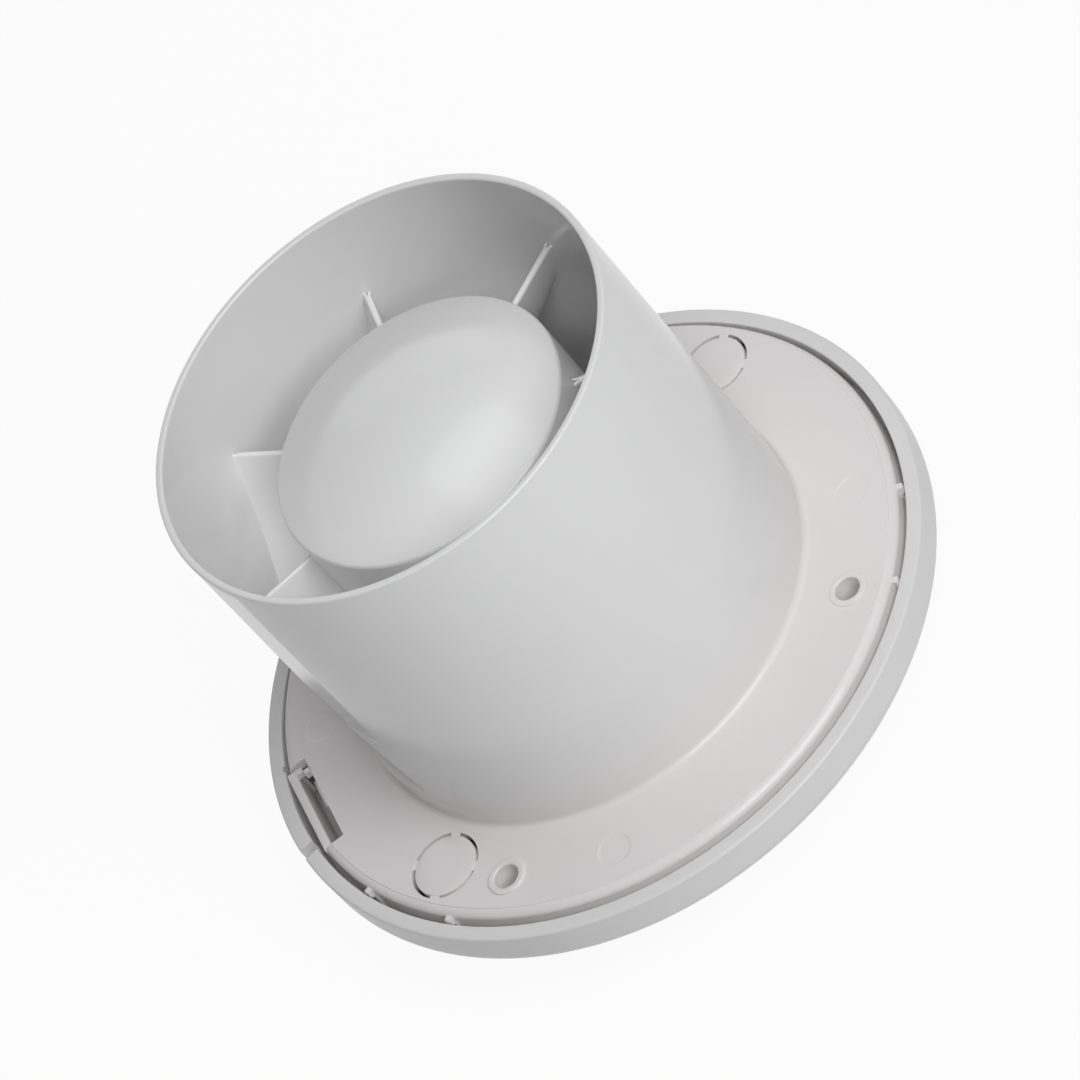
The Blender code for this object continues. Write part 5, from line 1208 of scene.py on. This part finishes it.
class FanLooks(bpy.types.PropertyGroup):
    """Colours and gloss of the fan's plastics."""

    shell_color: bpy.props.FloatVectorProperty(
        name="Housing colour", description="Colour of the housing moulding",
        subtype="COLOR", size=3, min=0, max=1, default=(0.87, 0.860, 0.857))
    # A warmer, slightly darker tone than the housing's, blended in on the plate below a height
    plate_color: bpy.props.FloatVectorProperty(
        name="Plate colour", description="Colour of the housing's back plate",
        subtype="COLOR", size=3, min=0, max=1, default=(0.86, 0.828, 0.824))
    shell_roughness: bpy.props.FloatProperty(
        name="Housing roughness", description="Roughness of the housing",
        min=0, max=1, default=0.18, subtype="FACTOR")
    cover_color: bpy.props.FloatVectorProperty(
        name="Cover colour", description="Colour of cover and panel",
        subtype="COLOR", size=3, min=0, max=1, default=(0.82, 0.806, 0.806))
    cover_roughness: bpy.props.FloatProperty(
        name="Cover roughness", description="Roughness of the cover",
        min=0, max=1, default=0.34, subtype="FACTOR")
    panel_roughness: bpy.props.FloatProperty(
        name="Panel roughness", description="Roughness of the front panel",
        min=0, max=1, default=0.38, subtype="FACTOR")
    guard_color: bpy.props.FloatVectorProperty(
        name="Guard colour", description="Colour of the inlet guard",
        subtype="COLOR", size=3, min=0, max=1, default=(0.62, 0.61, 0.60))
    impeller_color: bpy.props.FloatVectorProperty(
        name="Impeller colour", description="Colour of the impeller",
        subtype="COLOR", size=3, min=0, max=1, default=(0.45, 0.46, 0.48))


class FanStage(bpy.types.PropertyGroup):
    """Floor and lights of the studio."""

    floor_color: bpy.props.FloatVectorProperty(
        name="Floor colour", description="Colour of the floor's paint",
        subtype="COLOR", size=3, min=0, max=1, default=(0.85, 0.85, 0.86))
    floor_glow: bpy.props.FloatProperty(
        name="Floor glow", description="Share of plain white in what the camera sees",
        min=0, max=1, default=0.94, subtype="FACTOR")
    world_light: bpy.props.FloatProperty(
        name="World light", description="Strength of the light from all round",
        min=0, max=3, default=0.06, subtype="FACTOR")
    light_color: bpy.props.FloatVectorProperty(
        name="Light colour", description="Colour of the softboxes",
        subtype="COLOR", size=3, min=0, max=1, default=(0.978, 0.994, 1.0))
    key_power: bpy.props.FloatProperty(
        name="Key light", description="Power of the softbox above the camera",
        min=0, default=7.8, unit="POWER")
    over_power: bpy.props.FloatProperty(
        name="Top light", description="Power of the softbox over the spigot",
        min=0, default=2.2, unit="POWER")
    back_power: bpy.props.FloatProperty(
        name="Back light", description="Power of the softbox behind the fan",
        min=0, default=0.9, unit="POWER")


class FAN_OT_housing(bpy.types.Operator):
    """Builds the housing: wall, plate, pod, vanes and ribs"""

    bl_idname = "fan.housing"
    bl_label = "Housing"

    def execute(self, context):
        build_housing(context.scene.fan_looks)
        return {"FINISHED"}


class FAN_OT_latch(bpy.types.Operator):
    """Builds the release latch"""

    bl_idname = "fan.latch"
    bl_label = "Release latch"

    def execute(self, context):
        build_latch()
        return {"FINISHED"}


class FAN_OT_cover(bpy.types.Operator):
    """Builds the front cover"""

    bl_idname = "fan.cover"
    bl_label = "Front cover"

    def execute(self, context):
        build_cover(context.scene.fan_looks)
        return {"FINISHED"}


class FAN_OT_guard(bpy.types.Operator):
    """Builds the inlet guard"""

    bl_idname = "fan.guard"
    bl_label = "Inlet guard"

    def execute(self, context):
        build_guard(context.scene.fan_looks)
        return {"FINISHED"}


class FAN_OT_panel(bpy.types.Operator):
    """Builds the front panel"""

    bl_idname = "fan.panel"
    bl_label = "Front panel"

    def execute(self, context):
        build_panel(context.scene.fan_looks)
        return {"FINISHED"}


class FAN_OT_impeller(bpy.types.Operator):
    """Builds the impeller"""

    bl_idname = "fan.impeller"
    bl_label = "Impeller"

    def execute(self, context):
        build_impeller(context.scene.fan_looks)
        return {"FINISHED"}


class FAN_OT_inner_parts(bpy.types.Operator):
    """Gives motor, wiring and fixings their finishes"""

    bl_idname = "fan.inner_parts"
    bl_label = "Motor and wiring"

    def execute(self, context):
        dress_nodes()
        return {"FINISHED"}


class FAN_OT_stage(bpy.types.Operator):
    """Sets up floor, world, lights and camera"""

    bl_idname = "fan.stage"
    bl_label = "Stage"

    def execute(self, context):
        stage = context.scene.fan_stage
        context.scene.view_settings.view_transform = "Standard"
        build_camera()
        build_floor(stage)
        build_world(stage)
        build_lights(stage)
        return {"FINISHED"}


class FAN_PT_panel(bpy.types.Panel):
    """Lists the fan's pieces and settings"""

    bl_label = "Exhaust fan"
    bl_idname = "FAN_PT_panel"
    bl_space_type = "VIEW_3D"
    bl_region_type = "UI"
    bl_category = "Fan"

    def draw(self, context):
        for group in (context.scene.fan_looks, context.scene.fan_stage):
            for name in group.__annotations__:
                self.layout.prop(group, name)
        for operator in OPERATORS:
            self.layout.operator(operator.bl_idname)


OPERATORS = (FAN_OT_stage, FAN_OT_housing, FAN_OT_latch, FAN_OT_cover, FAN_OT_guard, FAN_OT_panel,
             FAN_OT_impeller, FAN_OT_inner_parts)
CLASSES = (FanLooks, FanStage, *OPERATORS, FAN_PT_panel)


def register():
    """Makes the classes known and gives each scene its settings."""
    for item in CLASSES:
        bpy.utils.register_class(item)
    bpy.types.Scene.fan_looks = bpy.props.PointerProperty(type=FanLooks)
    bpy.types.Scene.fan_stage = bpy.props.PointerProperty(type=FanStage)


def unregister():
    """Takes the settings and the classes away again."""
    del bpy.types.Scene.fan_stage
    del bpy.types.Scene.fan_looks
    for item in reversed(CLASSES):
        bpy.utils.unregister_class(item)


def main():
    """Builds the stage, then every piece."""
    register()
    bpy.ops.fan.stage()
    bpy.ops.fan.housing()
    bpy.ops.fan.latch()
    bpy.ops.fan.cover()
    bpy.ops.fan.guard()
    bpy.ops.fan.panel()
    bpy.ops.fan.impeller()
    bpy.ops.fan.inner_parts()


if __name__ == "__main__":
    main()
